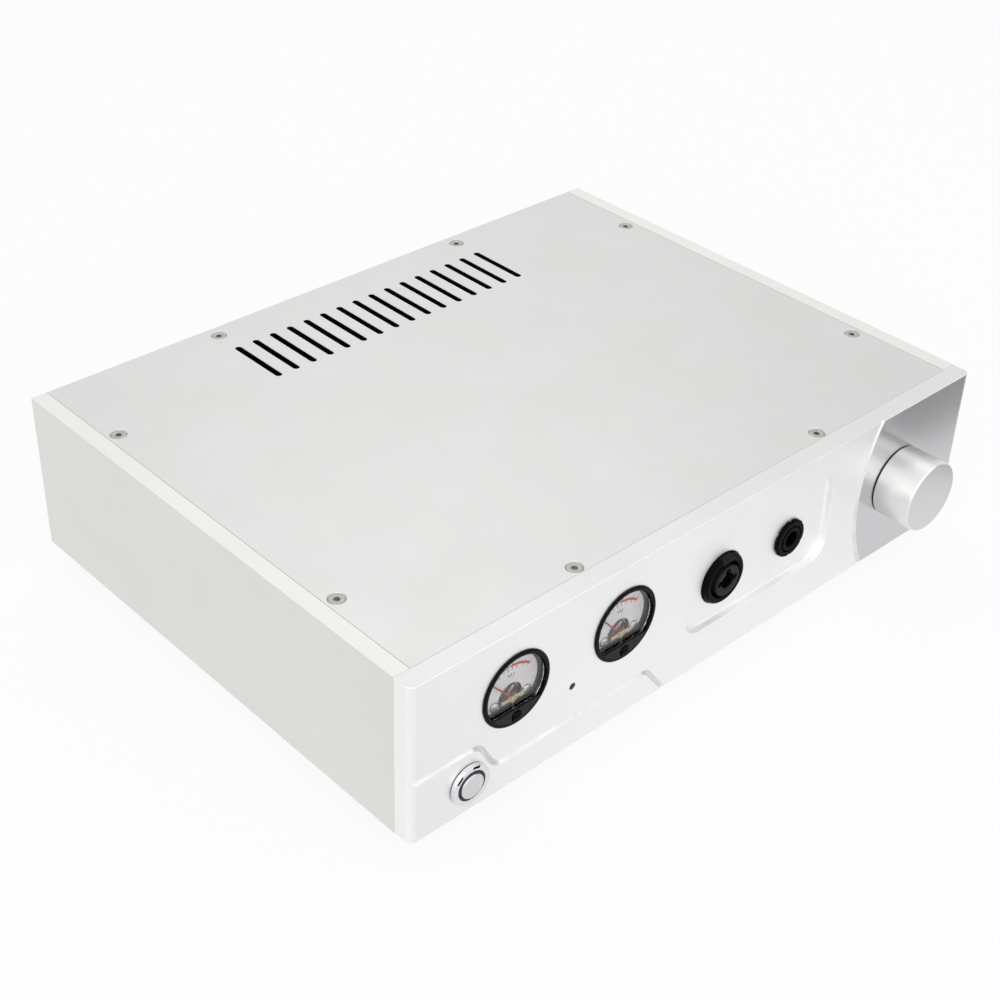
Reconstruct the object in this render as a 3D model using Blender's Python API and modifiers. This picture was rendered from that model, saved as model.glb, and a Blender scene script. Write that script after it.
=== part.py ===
"""Headphone amplifier in an aluminium case: two round meters, two headphone sockets, a volume knob.

Metres, +Z up, front towards -Y. The feet stand on z = 0, and the origin is the middle of the
overall box there. Places on the front and the rear are given from the case's left side, seen
from the front, and from the underside of the case.
"""

import math

import bmesh
import bpy
from mathutils import Matrix, Vector
from mathutils.geometry import interpolate_bezier

# Clearances
SEAT_GAP = 0.0003
RUNNING_GAP = 0.0003
CUT_OVERRUN = 0.001
JOIN_OVERLAP = 0.0004
SHARP_ANGLE = math.radians(32)
MERGE_DISTANCE = 0.00001
PARALLEL_SHARE = 0.999
NORMAL_DIGITS = 3
BORE_STEPS = 8
HEXAGON = 6

# Case
CASE_WIDTH = 0.308
CASE_DEPTH = 0.2333
CASE_HEIGHT = 0.0708
FRONT_THICKNESS = 0.008
FRONT_SIDE_ROUNDING = 0.003
FRONT_SIDE_ROUNDING_STEPS = 4
FRONT_EDGE_CHAMFER = 0.0005
COVER_THICKNESS = 0.003
REAR_THICKNESS = 0.003
REAR_INSET = 0.0005
FLOOR_THICKNESS = 0.0025
SIDE_WALL = 0.004
SIDE_RAIL_WIDTH = 0.007
SIDE_LEDGE_REACH = 0.0185
SIDE_LEDGE_THICKNESS = 0.004
SCREW_BLOCK_SIDE = 0.0075
SCREW_BORE_RADIUS = 0.0013
MIDDLE = CASE_HEIGHT / 2

# Feet
FOOT_HEIGHT = 0.010
FOOT_RADIUS = 0.019
FOOT_TAPER = 0.0015
FOOT_INSET_SIDE = 0.040
FOOT_INSET_FRONT = 0.036
FOOT_BORE_RADIUS = 0.0022
FOOT_COUNTERBORE_RADIUS = 0.0055
FOOT_COUNTERBORE_DEPTH = 0.005
FOOT_STEPS = 16

# Cover screws
COVER_SCREW_HEAD_RADIUS = 0.0032
COVER_SCREW_SHANK_RADIUS = 0.0015
COVER_SCREW_LENGTH = 0.009
COVER_SCREW_SINK = 0.0002
COVER_SCREW_HEX_RADIUS = 0.00125
COVER_SCREW_HEX_DEPTH = 0.0013
COVER_SCREW_FROM_SIDE = 0.012
COVER_SCREW_FROM_FRONT = 0.0528
COVER_SCREW_FROM_REAR = 0.0447
COVER_SCREW_ROW_SPACING = 0.135
COVER_SCREW_ROW_FROM_FRONT = 0.0122
COVER_SCREW_ROW_FROM_REAR = 0.0065
COVER_SCREW_STEPS = 10
LUG_WIDTH = 0.012
LUG_LENGTH = 0.0085
LUG_HEIGHT = 0.007

# Vent slots
VENT_COUNT = 16
VENT_PITCH = 0.009
VENT_WIDTH = 0.0029
VENT_LENGTH = 0.0306
VENT_FROM_REAR = 0.0193
VENT_END_STEPS = 3

# Front pocket and grooves
POCKET_RISE = 0.0032
POCKET_ACROSS_SHARE = 179.1 / 308
POCKET_CENTRE = (CASE_WIDTH * POCKET_ACROSS_SHARE, MIDDLE + POCKET_RISE)
POCKET_WIDTH = 0.0842
POCKET_HEIGHT = 0.0420
POCKET_DEPTH = 0.003
POCKET_DRAFT = 0.0003
POCKET_CORNER = 0.0095
POCKET_CORNER_STEPS = 6
POCKET_FOOT_RADIUS = 0.0012
POCKET_FOOT_STEPS = 2
GROOVE_DEPTH = 0.0011
ARC_RADIUS = 0.0750
ARC_FROM_KNOB = 0.0258
ARC_STEPS = 96
LOBE_TOP = 0.0278
LOBE_WIDTH = 0.0278
STRIP_TOP = 0.0138
STRIP_START = 0.0425
STRIP_END = 0.1165
STRIP_FOOT = 0.1270
STRIP_CORNER = 0.004
WAVE_HANDLE_SHARE = 0.5
WAVE_STEPS = 12
CORNER_STEPS = 4

# Volume control
KNOB_FROM_RIGHT = 0.0425
KNOB_CENTRE = (CASE_WIDTH - KNOB_FROM_RIGHT, MIDDLE)
KNOB_RADIUS = 0.0155
KNOB_LENGTH = 0.0168
KNOB_CHAMFER = 0.0006
KNOB_LIFT = 0.001
KNOB_RECESS_RADIUS = 0.0085
KNOB_RECESS_DEPTH = 0.0035
KNOB_BORE_DEPTH = 0.013
KNOB_STEPS = 36
SHAFT_RADIUS = 0.003
SHAFT_DEPTH_IN_KNOB = 0.012
SHAFT_DEPTH_IN_POT = 0.010
POT_SIDE = 0.025
POT_LENGTH = 0.020
POT_CORNER = 0.002
POT_CORNER_STEPS = 2
POT_POCKET_DEPTH = 0.004
POT_BUSHING_RADIUS = 0.0045
POT_BUSHING_REACH = 0.0031
POT_NUT_RADIUS = 0.0070
POT_NUT_THICKNESS = 0.0022
POT_PIN_COUNT = 3
POT_PIN_PITCH = 0.005
POT_PIN_LENGTH = 0.004
POT_PIN_SIDE = 0.0012
POT_STEPS = 16

# Power button
BUTTON_CENTRE = (0.0265, 0.0134)
BUTTON_BARREL_RADIUS = 0.0077
BUTTON_FLANGE_WIDTH = 0.0008
BUTTON_FLANGE_RADIUS = BUTTON_BARREL_RADIUS + BUTTON_FLANGE_WIDTH
BUTTON_FLANGE_HEIGHT = 0.0020
BUTTON_FLANGE_CHAMFER = 0.0006
BUTTON_BARREL_LENGTH = 0.024
BUTTON_CAP_RADIUS = 0.0051
BUTTON_CAP_PROUD = 0.0007
BUTTON_CAP_LENGTH = 0.0075
BUTTON_CAP_CHAMFER = 0.0004
BUTTON_TRAVEL = 0.0025
BUTTON_RING_WIDTH = 0.0009
BUTTON_RING_HEIGHT = 0.0016
BUTTON_MARK_ANGLES = (math.radians(75), math.radians(136))
BUTTON_MARK_LENGTH = 0.0030
BUTTON_MARK_WIDTH = 0.0009
BUTTON_MARK_DEPTH = 0.0005
BUTTON_MARK_FROM_EDGE = 0.0013
BUTTON_NUT_WIDTH = 0.0032
BUTTON_NUT_RADIUS = BUTTON_BARREL_RADIUS + BUTTON_NUT_WIDTH
BUTTON_NUT_THICKNESS = 0.003
BUTTON_TAB_COUNT = 4
BUTTON_TAB_RING_RADIUS = 0.0045
BUTTON_TAB_WIDTH = 0.0028
BUTTON_TAB_THICKNESS = 0.0006
BUTTON_TAB_LENGTH = 0.006
BUTTON_STEPS = 24

# Meters
METER_FROM_TOP = 0.0264
METER_HEIGHT = CASE_HEIGHT - METER_FROM_TOP
METER_ACROSS_SHARES = {"left": 48 / 308, "right": 102 / 308}
METER_CENTRES = {
    side: (CASE_WIDTH * share, METER_HEIGHT) for side, share in METER_ACROSS_SHARES.items()
}
METER_BEZEL_RADIUS = 0.01575
METER_BEZEL_HEIGHT = 0.0015
METER_BEZEL_CHAMFER = 0.0004
METER_RIM_WIDTH = 0.0018
METER_BARREL_RADIUS = 0.0142
METER_BARREL_WALL = 0.0010
METER_LENGTH = 0.024
METER_REAR_WALL = 0.002
METER_STEPS = 30
WINDOW_THICKNESS = 0.001
WINDOW_RECESS = 0.0018
APRON_CHORD = 0.0089
APRON_THICKNESS = 0.0015
ZERO_SCREW_DROP = 0.0121
ZERO_SCREW_RADIUS = 0.0020
ZERO_SCREW_PROUD = 0.0003
ZERO_SCREW_STEM_RADIUS = 0.0009
ZERO_SCREW_STEM_LENGTH = 0.0026
ZERO_SCREW_SLOT_WIDTH = 0.0006
ZERO_SCREW_SLOT_DEPTH = 0.0006
ZERO_SCREW_STEPS = 14
DIAL_DEPTH = 0.0030
DIAL_THICKNESS = 0.0005
DIAL_FOOT = 0.0085
DIAL_ARCH_RADIUS = 0.0057
DIAL_POST_SPREAD = 0.0077
DIAL_POST_DROP = 0.0062
DIAL_POST_RADIUS = 0.0013
DIAL_POST_STEPS = 10
PIVOT_DROP = 0.0055
YOKE_RADIUS = 0.0058
YOKE_WALL = 0.0013
YOKE_DEPTH_BEHIND_DIAL = 0.0012
YOKE_LENGTH = 0.0125
YOKE_FLOOR = 0.002
YOKE_STEM_RADIUS = 0.0025
YOKE_STEPS = 14
CORE_RADIUS = 0.0029
CORE_LENGTH = 0.0055
CORE_POST_WIDTH = 0.0014
CORE_POST_LENGTH = 0.0025
COIL_WIRE = 0.0007
COIL_WIDTH = 0.0016
STAFF_RADIUS = 0.0005
STAFF_STEPS = 8
POINTER_LENGTH = 0.0155
POINTER_TAIL = 0.0032
POINTER_ROOT_WIDTH = 0.0010
POINTER_TIP_WIDTH = 0.0004
POINTER_THICKNESS = 0.0004
POINTER_HUB_RADIUS = 0.0012
POINTER_REST_ANGLE = math.radians(42)
BRIDGE_WIDTH = 0.0016
BRIDGE_THICKNESS = 0.0005
BRIDGE_LEG = 0.0008
METER_STUD_RADIUS = 0.0012
METER_STUD_LENGTH = 0.005
METER_STUD_SPREAD = 0.007

# Indicator
INDICATOR_ACROSS_SHARE = 76.5 / 308
INDICATOR_HEIGHT = 0.0290
INDICATOR_CENTRE = (CASE_WIDTH * INDICATOR_ACROSS_SHARE, INDICATOR_HEIGHT)
INDICATOR_RADIUS = 0.0012
INDICATOR_COLLAR_RADIUS = 0.0022
INDICATOR_COLLAR_LENGTH = 0.0015
INDICATOR_STEPS = 12

# Combination socket
COMBO_ACROSS_SHARE = 159.3 / 308
COMBO_CENTRE = (CASE_WIDTH * COMBO_ACROSS_SHARE, MIDDLE)
COMBO_RADIUS = 0.01095
COMBO_RECESS = 0.0007
COMBO_RIM_WIDTH = 0.0029
COMBO_RIM_CHAMFER = 0.0008
COMBO_MOUTH_CHAMFER = 0.0004
COMBO_INSERT_RADIUS = 0.0067
COMBO_INSERT_BEYOND_RIM = 0.0009
COMBO_GROOVE_DEPTH = 0.012
COMBO_LENGTH = 0.032
COMBO_FLANGE_SIDE_MARGIN = 0.00205
COMBO_FLANGE_END_MARGIN = 0.00455
COMBO_FLANGE_WIDTH = 2 * (COMBO_RADIUS + COMBO_FLANGE_SIDE_MARGIN)
COMBO_FLANGE_HEIGHT = 2 * (COMBO_RADIUS + COMBO_FLANGE_END_MARGIN)
COMBO_FLANGE_THICKNESS = 0.0022
COMBO_FLANGE_CORNER = 0.0026
COMBO_FLANGE_CORNER_STEPS = 2
COMBO_BODY_RADIUS = 0.0104
COMBO_BORE_DEPTH = 0.029
COMBO_CONTACT_RADIUS = 0.0013
COMBO_CONTACT_RING = 0.0042
COMBO_CONTACT_DEPTH = 0.011
COMBO_CONTACT_ANGLES = (0.0, math.radians(90), math.radians(180))
COMBO_STEPS = 28
TAB_WIDTH = 0.0065
TAB_HEIGHT = 0.0027
TAB_LENGTH = 0.0050
TAB_BEYOND_RIM = 0.0006
TAB_FROM_EDGE = 0.0004
TAB_TRAVEL = 0.0012
TAB_ROUNDING = 0.0006
TAB_ROUNDING_STEPS = 2

# Phone jack
JACK_ACROSS_SHARE = 199.1 / 308
JACK_CENTRE = (CASE_WIDTH * JACK_ACROSS_SHARE, MIDDLE)
JACK_BORE_RADIUS = 0.00335
JACK_BUSHING_RADIUS = 0.0056
JACK_BUSHING_BEYOND_NUT = 0.0003
JACK_BODY_SIDE = 0.0165
JACK_BODY_LENGTH = 0.026
JACK_BODY_CORNER = 0.0015
JACK_BODY_CORNER_STEPS = 1
JACK_BORE_MARGIN = 0.004
JACK_NUT_WIDTH = 0.0027
JACK_NUT_RADIUS = JACK_BUSHING_RADIUS + JACK_NUT_WIDTH
JACK_NUT_THICKNESS = 0.0014
JACK_NUT_CHAMFER = 0.0005
JACK_NUT_NOTCHES = 6
JACK_NUT_NOTCH_RADIUS = 0.0009
JACK_NUT_NOTCH_STEPS = 8
JACK_STEPS = 24

# Rear fittings
INLET_CENTRE = (0.0560, 0.0380)
INLET_FLANGE_WIDTH = 0.050
INLET_FLANGE_HEIGHT = 0.034
INLET_FLANGE_THICKNESS = 0.0025
INLET_FLANGE_CORNER = 0.004
INLET_FLANGE_CORNER_STEPS = 3
INLET_BODY_WIDTH = 0.0285
INLET_BODY_HEIGHT = 0.031
INLET_BODY_LENGTH = 0.026
INLET_HOOD_HEIGHT = 0.0025
INLET_CAVITY_WIDTH = 0.0244
INLET_CAVITY_HEIGHT = 0.0165
INLET_CAVITY_CORNER = 0.0045
INLET_CAVITY_DEPTH = 0.0165
INLET_CAVITY_RISE = 0.0055
INLET_PIN_SPREAD = 0.007
INLET_PIN_THICKNESS = 0.002
INLET_PIN_HEIGHT = 0.004
INLET_PIN_SHORT = 0.003
INLET_PIN_RISE = 0.002
INLET_SCREW_SPREAD = 0.040
INLET_SCREW_RADIUS = 0.0017
DRAWER_WIDTH = 0.022
DRAWER_HEIGHT = 0.0075
DRAWER_LENGTH = 0.021
DRAWER_DROP = 0.0095
DRAWER_LIP = 0.0009
DRAWER_LIP_THICKNESS = 0.0012
DRAWER_FUSE_RADIUS = 0.0029
DRAWER_FUSE_MARGIN = 0.0025
RCA_COLUMNS = (0.2360, 0.2600)
RCA_ROWS = (0.0480, 0.0260)
RCA_SHELL_RADIUS = 0.00415
RCA_SHELL_LENGTH = 0.0074
RCA_FLANGE_RADIUS = 0.0066
RCA_FLANGE_THICKNESS = 0.0023
RCA_THREAD_RADIUS = 0.0038
RCA_THREAD_LENGTH = 0.010
RCA_MOUTH_RADIUS = 0.0031
RCA_MOUTH_DEPTH = 0.0010
RCA_CONTACT_RADIUS = 0.0016
RCA_CONTACT_DEPTH = 0.009
RCA_STEPS = 12

# Transformer
CORE_OUTER_RADIUS = 0.043
CORE_INNER_RADIUS = 0.013
CORE_HEIGHT = 0.038
CORE_ROUNDING = 0.007
CORE_ROUNDING_STEPS = 2
CORE_STEPS = 20
CORE_FROM_LEDGE = 0.0055
CORE_CENTRE_FROM_LEFT = SIDE_LEDGE_REACH + CORE_FROM_LEDGE + CORE_OUTER_RADIUS
CORE_CENTRE_FROM_REAR = 0.1053
CLAMP_RADIUS = 0.026
CLAMP_THICKNESS = 0.0016
CLAMP_DISH = 0.0015
CLAMP_DISH_RADIUS = 0.009
CLAMP_STEPS = 16
BOLT_RADIUS = 0.003
BOLT_HEAD_RADIUS = 0.0058
BOLT_HEAD_HEIGHT = 0.004
BOLT_STEPS = 12

# Main board
BOARD_FROM_CORE = 0.006
BOARD_FROM_LEFT = CORE_CENTRE_FROM_LEFT + CORE_OUTER_RADIUS + BOARD_FROM_CORE
BOARD_FROM_RIGHT = 0.020
BOARD_FROM_FRONT = 0.060
BOARD_FROM_REAR = 0.0133
BOARD_WIDTH = CASE_WIDTH - BOARD_FROM_LEFT - BOARD_FROM_RIGHT
BOARD_LENGTH = CASE_DEPTH - BOARD_FROM_FRONT - BOARD_FROM_REAR
BOARD_THICKNESS = 0.0016
STANDOFF_HEIGHT = 0.008
STANDOFF_RADIUS = 0.003
STANDOFF_INSET = 0.006
STANDOFF_STEPS = 8
RELAY_COUNT = 3
RELAY_WIDTH = 0.010
RELAY_LENGTH = 0.020
RELAY_HEIGHT = 0.011
RELAY_PITCH = 0.016
RELAY_FROM_RIGHT = 0.060
RELAY_FROM_FRONT = 0.006
CHIP_WIDTH = 0.007
CHIP_LENGTH = 0.010
CHIP_HEIGHT = 0.004
CHIP_FROM_LEFT = 0.090
CHIP_FROM_RIGHT = 0.015
CHIP_PITCH = 0.020
CHIP_SPAN = BOARD_WIDTH - CHIP_FROM_LEFT - CHIP_FROM_RIGHT - CHIP_WIDTH
CHIP_COUNT = 1 + max(0, round(CHIP_SPAN / CHIP_PITCH))
CHIP_FROM_FRONT = 0.055
SMALL_CAP_ROWS = 2
SMALL_CAP_RADIUS = 0.004
SMALL_CAP_HEIGHT = 0.012
SMALL_CAP_FROM_LEFT = 0.092
SMALL_CAP_FROM_RIGHT = 0.041
SMALL_CAP_SPAN = BOARD_WIDTH - SMALL_CAP_FROM_LEFT - SMALL_CAP_FROM_RIGHT
SMALL_CAP_PITCH = 0.013
SMALL_CAP_COLUMNS = 1 + max(0, round(SMALL_CAP_SPAN / SMALL_CAP_PITCH))
SMALL_CAP_FROM_HEAT_SINK = 0.039
TERMINAL_WIDTH = 0.030
TERMINAL_LENGTH = 0.008
TERMINAL_HEIGHT = 0.010
TERMINAL_FROM_LEFT = 0.008
TERMINAL_FROM_FRONT = 0.008

# Large parts on the board
FILTER_CAP_RADIUS = 0.0125
FILTER_CAP_HEIGHT = 0.040
FILTER_CAP_EDGE = 0.0012
FILTER_CAP_FROM_LEFT = 0.024
FILTER_CAP_FROM_FRONT = 0.050
FILTER_CAP_PITCH = 0.031
FILTER_CAP_COUNT = 2
FILTER_CAP_STEPS = 16
HEAT_SINK_COUNT = 2
HEAT_SINK_DEPTH = 0.024
HEAT_SINK_HEIGHT = 0.038
HEAT_SINK_BACK = 0.004
HEAT_SINK_FINS = 9
HEAT_SINK_FIN_THICKNESS = 0.0016
HEAT_SINK_FROM_REAR_OF_BOARD = 0.004
HEAT_SINK_FROM_LEFT = 0.010
HEAT_SINK_FROM_RIGHT = 0.038
HEAT_SINK_GAP = 0.008
HEAT_SINK_SPAN = BOARD_WIDTH - HEAT_SINK_FROM_LEFT - HEAT_SINK_FROM_RIGHT
HEAT_SINK_PITCH = (HEAT_SINK_SPAN + HEAT_SINK_GAP) / HEAT_SINK_COUNT
HEAT_SINK_WIDTH = HEAT_SINK_PITCH - HEAT_SINK_GAP

# Places that follow from the sizes above
CASE_UNDERSIDE = FOOT_HEIGHT
CASE_TOP = CASE_UNDERSIDE + CASE_HEIGHT
CASE_LEFT = -CASE_WIDTH / 2
CASE_RIGHT = CASE_WIDTH / 2
KNOB_REACH = KNOB_LIFT + KNOB_LENGTH
REAR_REACH = SEAT_GAP + RCA_FLANGE_THICKNESS + RCA_SHELL_LENGTH - REAR_INSET
FRONT_Y = KNOB_REACH - (KNOB_REACH + CASE_DEPTH + REAR_REACH) / 2
REAR_Y = FRONT_Y + CASE_DEPTH
INSIDE_FRONT_Y = FRONT_Y + FRONT_THICKNESS
REAR_FACE_Y = REAR_Y - REAR_INSET
REAR_INSIDE_Y = REAR_FACE_Y - REAR_THICKNESS
COVER_UNDERSIDE = CASE_TOP - COVER_THICKNESS
FLOOR_TOP = CASE_UNDERSIDE + FLOOR_THICKNESS
POCKET_FLOOR = -POCKET_DEPTH
BOARD_UNDERSIDE = FLOOR_TOP + SEAT_GAP + STANDOFF_HEIGHT
BOARD_TOP = BOARD_UNDERSIDE + BOARD_THICKNESS
BOARD_LEFT = CASE_LEFT + BOARD_FROM_LEFT
BOARD_FRONT = FRONT_Y + BOARD_FROM_FRONT
HEAT_SINK_REAR = BOARD_FRONT + BOARD_LENGTH - HEAT_SINK_FROM_REAR_OF_BOARD


def clear_scene():
    for item in list(bpy.data.objects):
        bpy.data.objects.remove(item, do_unlink=True)


def new_collection(name):
    collection = bpy.data.collections.new(name)
    bpy.context.scene.collection.children.link(collection)
    return collection


def new_material(name, colour, roughness, metallic, alpha=1.0):
    material = bpy.data.materials.new(name)
    material.use_nodes = True
    shader = material.node_tree.nodes["Principled BSDF"]
    shader.inputs["Base Color"].default_value = (*colour, 1.0)
    shader.inputs["Roughness"].default_value = roughness
    shader.inputs["Metallic"].default_value = metallic
    shader.inputs["Alpha"].default_value = alpha
    return material


clear_scene()
PARTS = new_collection("headphone_amplifier")
CUTTERS = new_collection("cutters")

ANODISED = new_material("anodised_aluminium", (0.80, 0.80, 0.80), 0.38, 0.9)
TURNED_METAL = new_material("turned_aluminium", (0.82, 0.82, 0.82), 0.25, 1.0)
STEEL = new_material("bright_steel", (0.62, 0.62, 0.60), 0.30, 1.0)
GLOSS_BLACK = new_material("gloss_black_plastic", (0.010, 0.010, 0.011), 0.12, 0.0)
MATT_BLACK = new_material("matt_black_plastic", (0.020, 0.020, 0.021), 0.45, 0.0)
RING_BLUE = new_material("button_ring", (0.010, 0.012, 0.060), 0.20, 0.0)
RUBBER = new_material("rubber", (0.015, 0.015, 0.015), 0.80, 0.0)
CLEAR = new_material("clear_window", (0.95, 0.95, 0.95), 0.05, 0.0, 0.15)
DIAL_WHITE = new_material("dial_white", (0.85, 0.84, 0.80), 0.60, 0.0)
COPPER = new_material("copper_winding", (0.55, 0.27, 0.12), 0.35, 0.8)
BRASS = new_material("gold_plate", (0.75, 0.55, 0.20), 0.25, 1.0)
BOARD_GREEN = new_material("circuit_board", (0.02, 0.10, 0.05), 0.45, 0.0)
TAPE = new_material("transformer_tape", (0.75, 0.55, 0.08), 0.40, 0.0)
SLEEVE = new_material("capacitor_sleeve", (0.03, 0.03, 0.05), 0.35, 0.0)

FACING = {
    "up": Matrix.Identity(4),
    "front": Matrix.Rotation(math.radians(90), 4, "X"),
    "rear": Matrix.Rotation(math.radians(180), 4, "Z") @ Matrix.Rotation(math.radians(90), 4, "X"),
}


def from_left(distance):
    return CASE_LEFT + distance


def above_underside(height):
    return CASE_UNDERSIDE + height


def place(item, location, facing="up"):
    """Moves the item to the location, with its own +Z turned the way that it faces."""
    item.matrix_world = Matrix.Translation(location) @ FACING[facing]
    return item


def place_on_front(item, centre):
    location = (from_left(centre[0]), FRONT_Y, above_underside(centre[1]))
    return place(item, location, "front")


def place_on_rear(item, centre):
    location = (from_left(centre[0]), REAR_FACE_Y, above_underside(centre[1]))
    return place(item, location, "rear")


def new_object(name, mesh, material):
    """An object with a material is a part, and one without is a cutter or a piece to be joined."""
    item = bpy.data.objects.new(name, mesh)
    if material is None:
        CUTTERS.objects.link(item)
        item.hide_render = True
        item.display_type = "WIRE"
    else:
        PARTS.objects.link(item)
        mesh.materials.append(material)
    return item


def object_from_bmesh(name, bm, material):
    mesh = bpy.data.meshes.new(name)
    bmesh.ops.recalc_face_normals(bm, faces=bm.faces)
    bm.to_mesh(mesh)
    bm.free()
    return new_object(name, mesh, material)


def add_box(bm, low, high):
    low = Vector(low)
    high = Vector(high)
    matrix = Matrix.Translation((low + high) / 2) @ Matrix.Diagonal((*(high - low), 1.0))
    return bmesh.ops.create_cube(bm, size=1.0, matrix=matrix)["verts"]


def add_cylinder(bm, centre, radius, bottom, top, steps):
    matrix = Matrix.Translation((centre[0], centre[1], (bottom + top) / 2))
    return bmesh.ops.create_cone(
        bm,
        cap_ends=True,
        segments=steps,
        radius1=radius,
        radius2=radius,
        depth=top - bottom,
        matrix=matrix,
    )["verts"]


def box(name, low, high, material=None):
    bm = bmesh.new()
    add_box(bm, low, high)
    return object_from_bmesh(name, bm, material)


def cylinder(name, centre, radius, bottom, top, steps, material=None):
    bm = bmesh.new()
    add_cylinder(bm, centre, radius, bottom, top, steps)
    return object_from_bmesh(name, bm, material)


def bevel_edges(bm, wanted, width, segments):
    edges = [edge for edge in bm.edges if wanted(edge)]
    bmesh.ops.bevel(bm, geom=edges, offset=width, segments=segments, profile=0.5, affect="EDGES")


def runs_along(edge, axis):
    step = (edge.verts[0].co - edge.verts[1].co).normalized()
    return abs(step[axis]) > PARALLEL_SHARE


def rounded_box(name, low, high, axis, rounding, segments, material=None):
    """A box with its four edges along one axis rounded."""
    bm = bmesh.new()
    add_box(bm, low, high)
    bevel_edges(bm, lambda edge: runs_along(edge, axis), rounding, segments)
    return object_from_bmesh(name, bm, material)


def turned(name, profile, steps, material=None, closed=False):
    """Turns a profile of (radius, height) round Z. Its outer side runs from top to bottom."""
    mesh = bpy.data.meshes.new(name)
    count = len(profile)
    edges = [(i, i + 1) for i in range(count - 1)]
    if closed:
        edges.append((count - 1, 0))
    mesh.from_pydata([(radius, 0.0, height) for radius, height in profile], edges, [])
    item = new_object(name, mesh, material)
    screw = item.modifiers.new("turn", "SCREW")
    screw.axis = "Z"
    screw.steps = steps
    screw.render_steps = steps
    screw.use_merge_vertices = True
    screw.merge_threshold = MERGE_DISTANCE
    return item


def add_prism(bm, outline, bottom, top):
    vertices = [bm.verts.new((x, y, bottom)) for x, y in outline]
    face = bm.faces.new(vertices)
    grown = bmesh.ops.extrude_face_region(bm, geom=[face])["geom"]
    moved = [item for item in grown if isinstance(item, bmesh.types.BMVert)]
    bmesh.ops.translate(bm, verts=moved, vec=(0.0, 0.0, top - bottom))


def prism(name, outline, bottom, top, material=None):
    bm = bmesh.new()
    add_prism(bm, outline, bottom, top)
    return object_from_bmesh(name, bm, material)


def loft(name, rings, material=None):
    """Joins rings of as many points each, and closes both ends."""
    bm = bmesh.new()
    loops = []
    for ring in rings:
        vertices = [bm.verts.new(point) for point in ring]
        loops.append([bm.edges.new((vertices[i - 1], vertices[i])) for i in range(len(vertices))])
    for first, second in zip(loops, loops[1:]):
        bmesh.ops.bridge_loops(bm, edges=first + second)
    bmesh.ops.holes_fill(bm, edges=loops[0] + loops[-1], sides=0)
    return object_from_bmesh(name, bm, material)


def rounded_outline(width, height, radius, steps):
    """The points of a rectangle with round corners, about the origin."""
    points = []
    for corner in range(4):
        turn = corner * math.pi / 2
        side_x = 1 if corner in (0, 3) else -1
        side_y = 1 if corner in (0, 1) else -1
        centre_x = side_x * (width / 2 - radius)
        centre_y = side_y * (height / 2 - radius)
        for step in range(steps + 1):
            angle = turn + step / steps * math.pi / 2
            points.append((centre_x + radius * math.cos(angle), centre_y + radius * math.sin(angle)))
    return points


def arc_points(centre, radius, start, end, steps):
    angles = [start + (end - start) * step / steps for step in range(steps + 1)]
    return [(centre[0] + radius * math.cos(a), centre[1] + radius * math.sin(a)) for a in angles]


def combine(item, other, operation):
    """Cuts the other from the item, or joins it on. The other keeps its place relative to it."""
    other.parent = item
    modifier = item.modifiers.new(other.name, "BOOLEAN")
    modifier.object = other
    modifier.operation = operation
    modifier.solver = "EXACT"
    return item


def cut(item, *cutters):
    for cutter in cutters:
        combine(item, cutter, "DIFFERENCE")
    return item


def join(item, *others):
    for other in others:
        combine(item, other, "UNION")
    return item


def settled_mesh(item):
    """The mesh that the item's modifiers make, smooth but for its sharp edges."""
    bpy.context.view_layer.update()
    graph = bpy.context.evaluated_depsgraph_get()
    mesh = bpy.data.meshes.new_from_object(item.evaluated_get(graph), depsgraph=graph)
    mesh.name = item.name
    mesh.shade_smooth()
    mesh.set_sharp_from_angle(angle=SHARP_ANGLE)
    return mesh


def settle_parts():
    for item in PARTS.objects:
        if item.modifiers:
            mesh = settled_mesh(item)
            item.modifiers.clear()
            item.data = mesh


# Front panel


def wave_path():
    """The groove that goes round the power button, along the foot of the panel and out below."""
    handle = (STRIP_START - LOBE_WIDTH) * WAVE_HANDLE_SHARE
    step_down = interpolate_bezier(
        (LOBE_WIDTH, LOBE_TOP),
        (LOBE_WIDTH + handle, LOBE_TOP),
        (STRIP_START - handle, STRIP_TOP),
        (STRIP_START, STRIP_TOP),
        WAVE_STEPS,
    )
    steepness = math.atan2(STRIP_TOP, STRIP_FOOT - STRIP_END)
    centre = (STRIP_END - STRIP_CORNER * math.tan(steepness / 2), STRIP_TOP - STRIP_CORNER)
    turn_down = arc_points(
        centre, STRIP_CORNER, math.pi / 2, math.pi / 2 - steepness, CORNER_STEPS
    )
    start = (-CUT_OVERRUN, LOBE_TOP)
    foot = (STRIP_FOOT + CUT_OVERRUN / math.tan(steepness), -CUT_OVERRUN)
    return [start, *step_down, *turn_down, foot]


def vee_section():
    """The triangle that a groove cutter has across its path."""
    curve = bpy.data.curves.new("vee_section", "CURVE")
    curve.dimensions = "2D"
    spline = curve.splines.new("POLY")
    spline.points.add(2)
    half = GROOVE_DEPTH + CUT_OVERRUN
    corners = ((0.0, -GROOVE_DEPTH), (half, CUT_OVERRUN), (-half, CUT_OVERRUN))
    for point, (across, out) in zip(spline.points, corners):
        point.co = (across, out, 0.0, 1.0)
    spline.use_cyclic_u = True
    section = bpy.data.objects.new("vee_section", curve)
    CUTTERS.objects.link(section)
    section.hide_render = True
    return section


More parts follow.
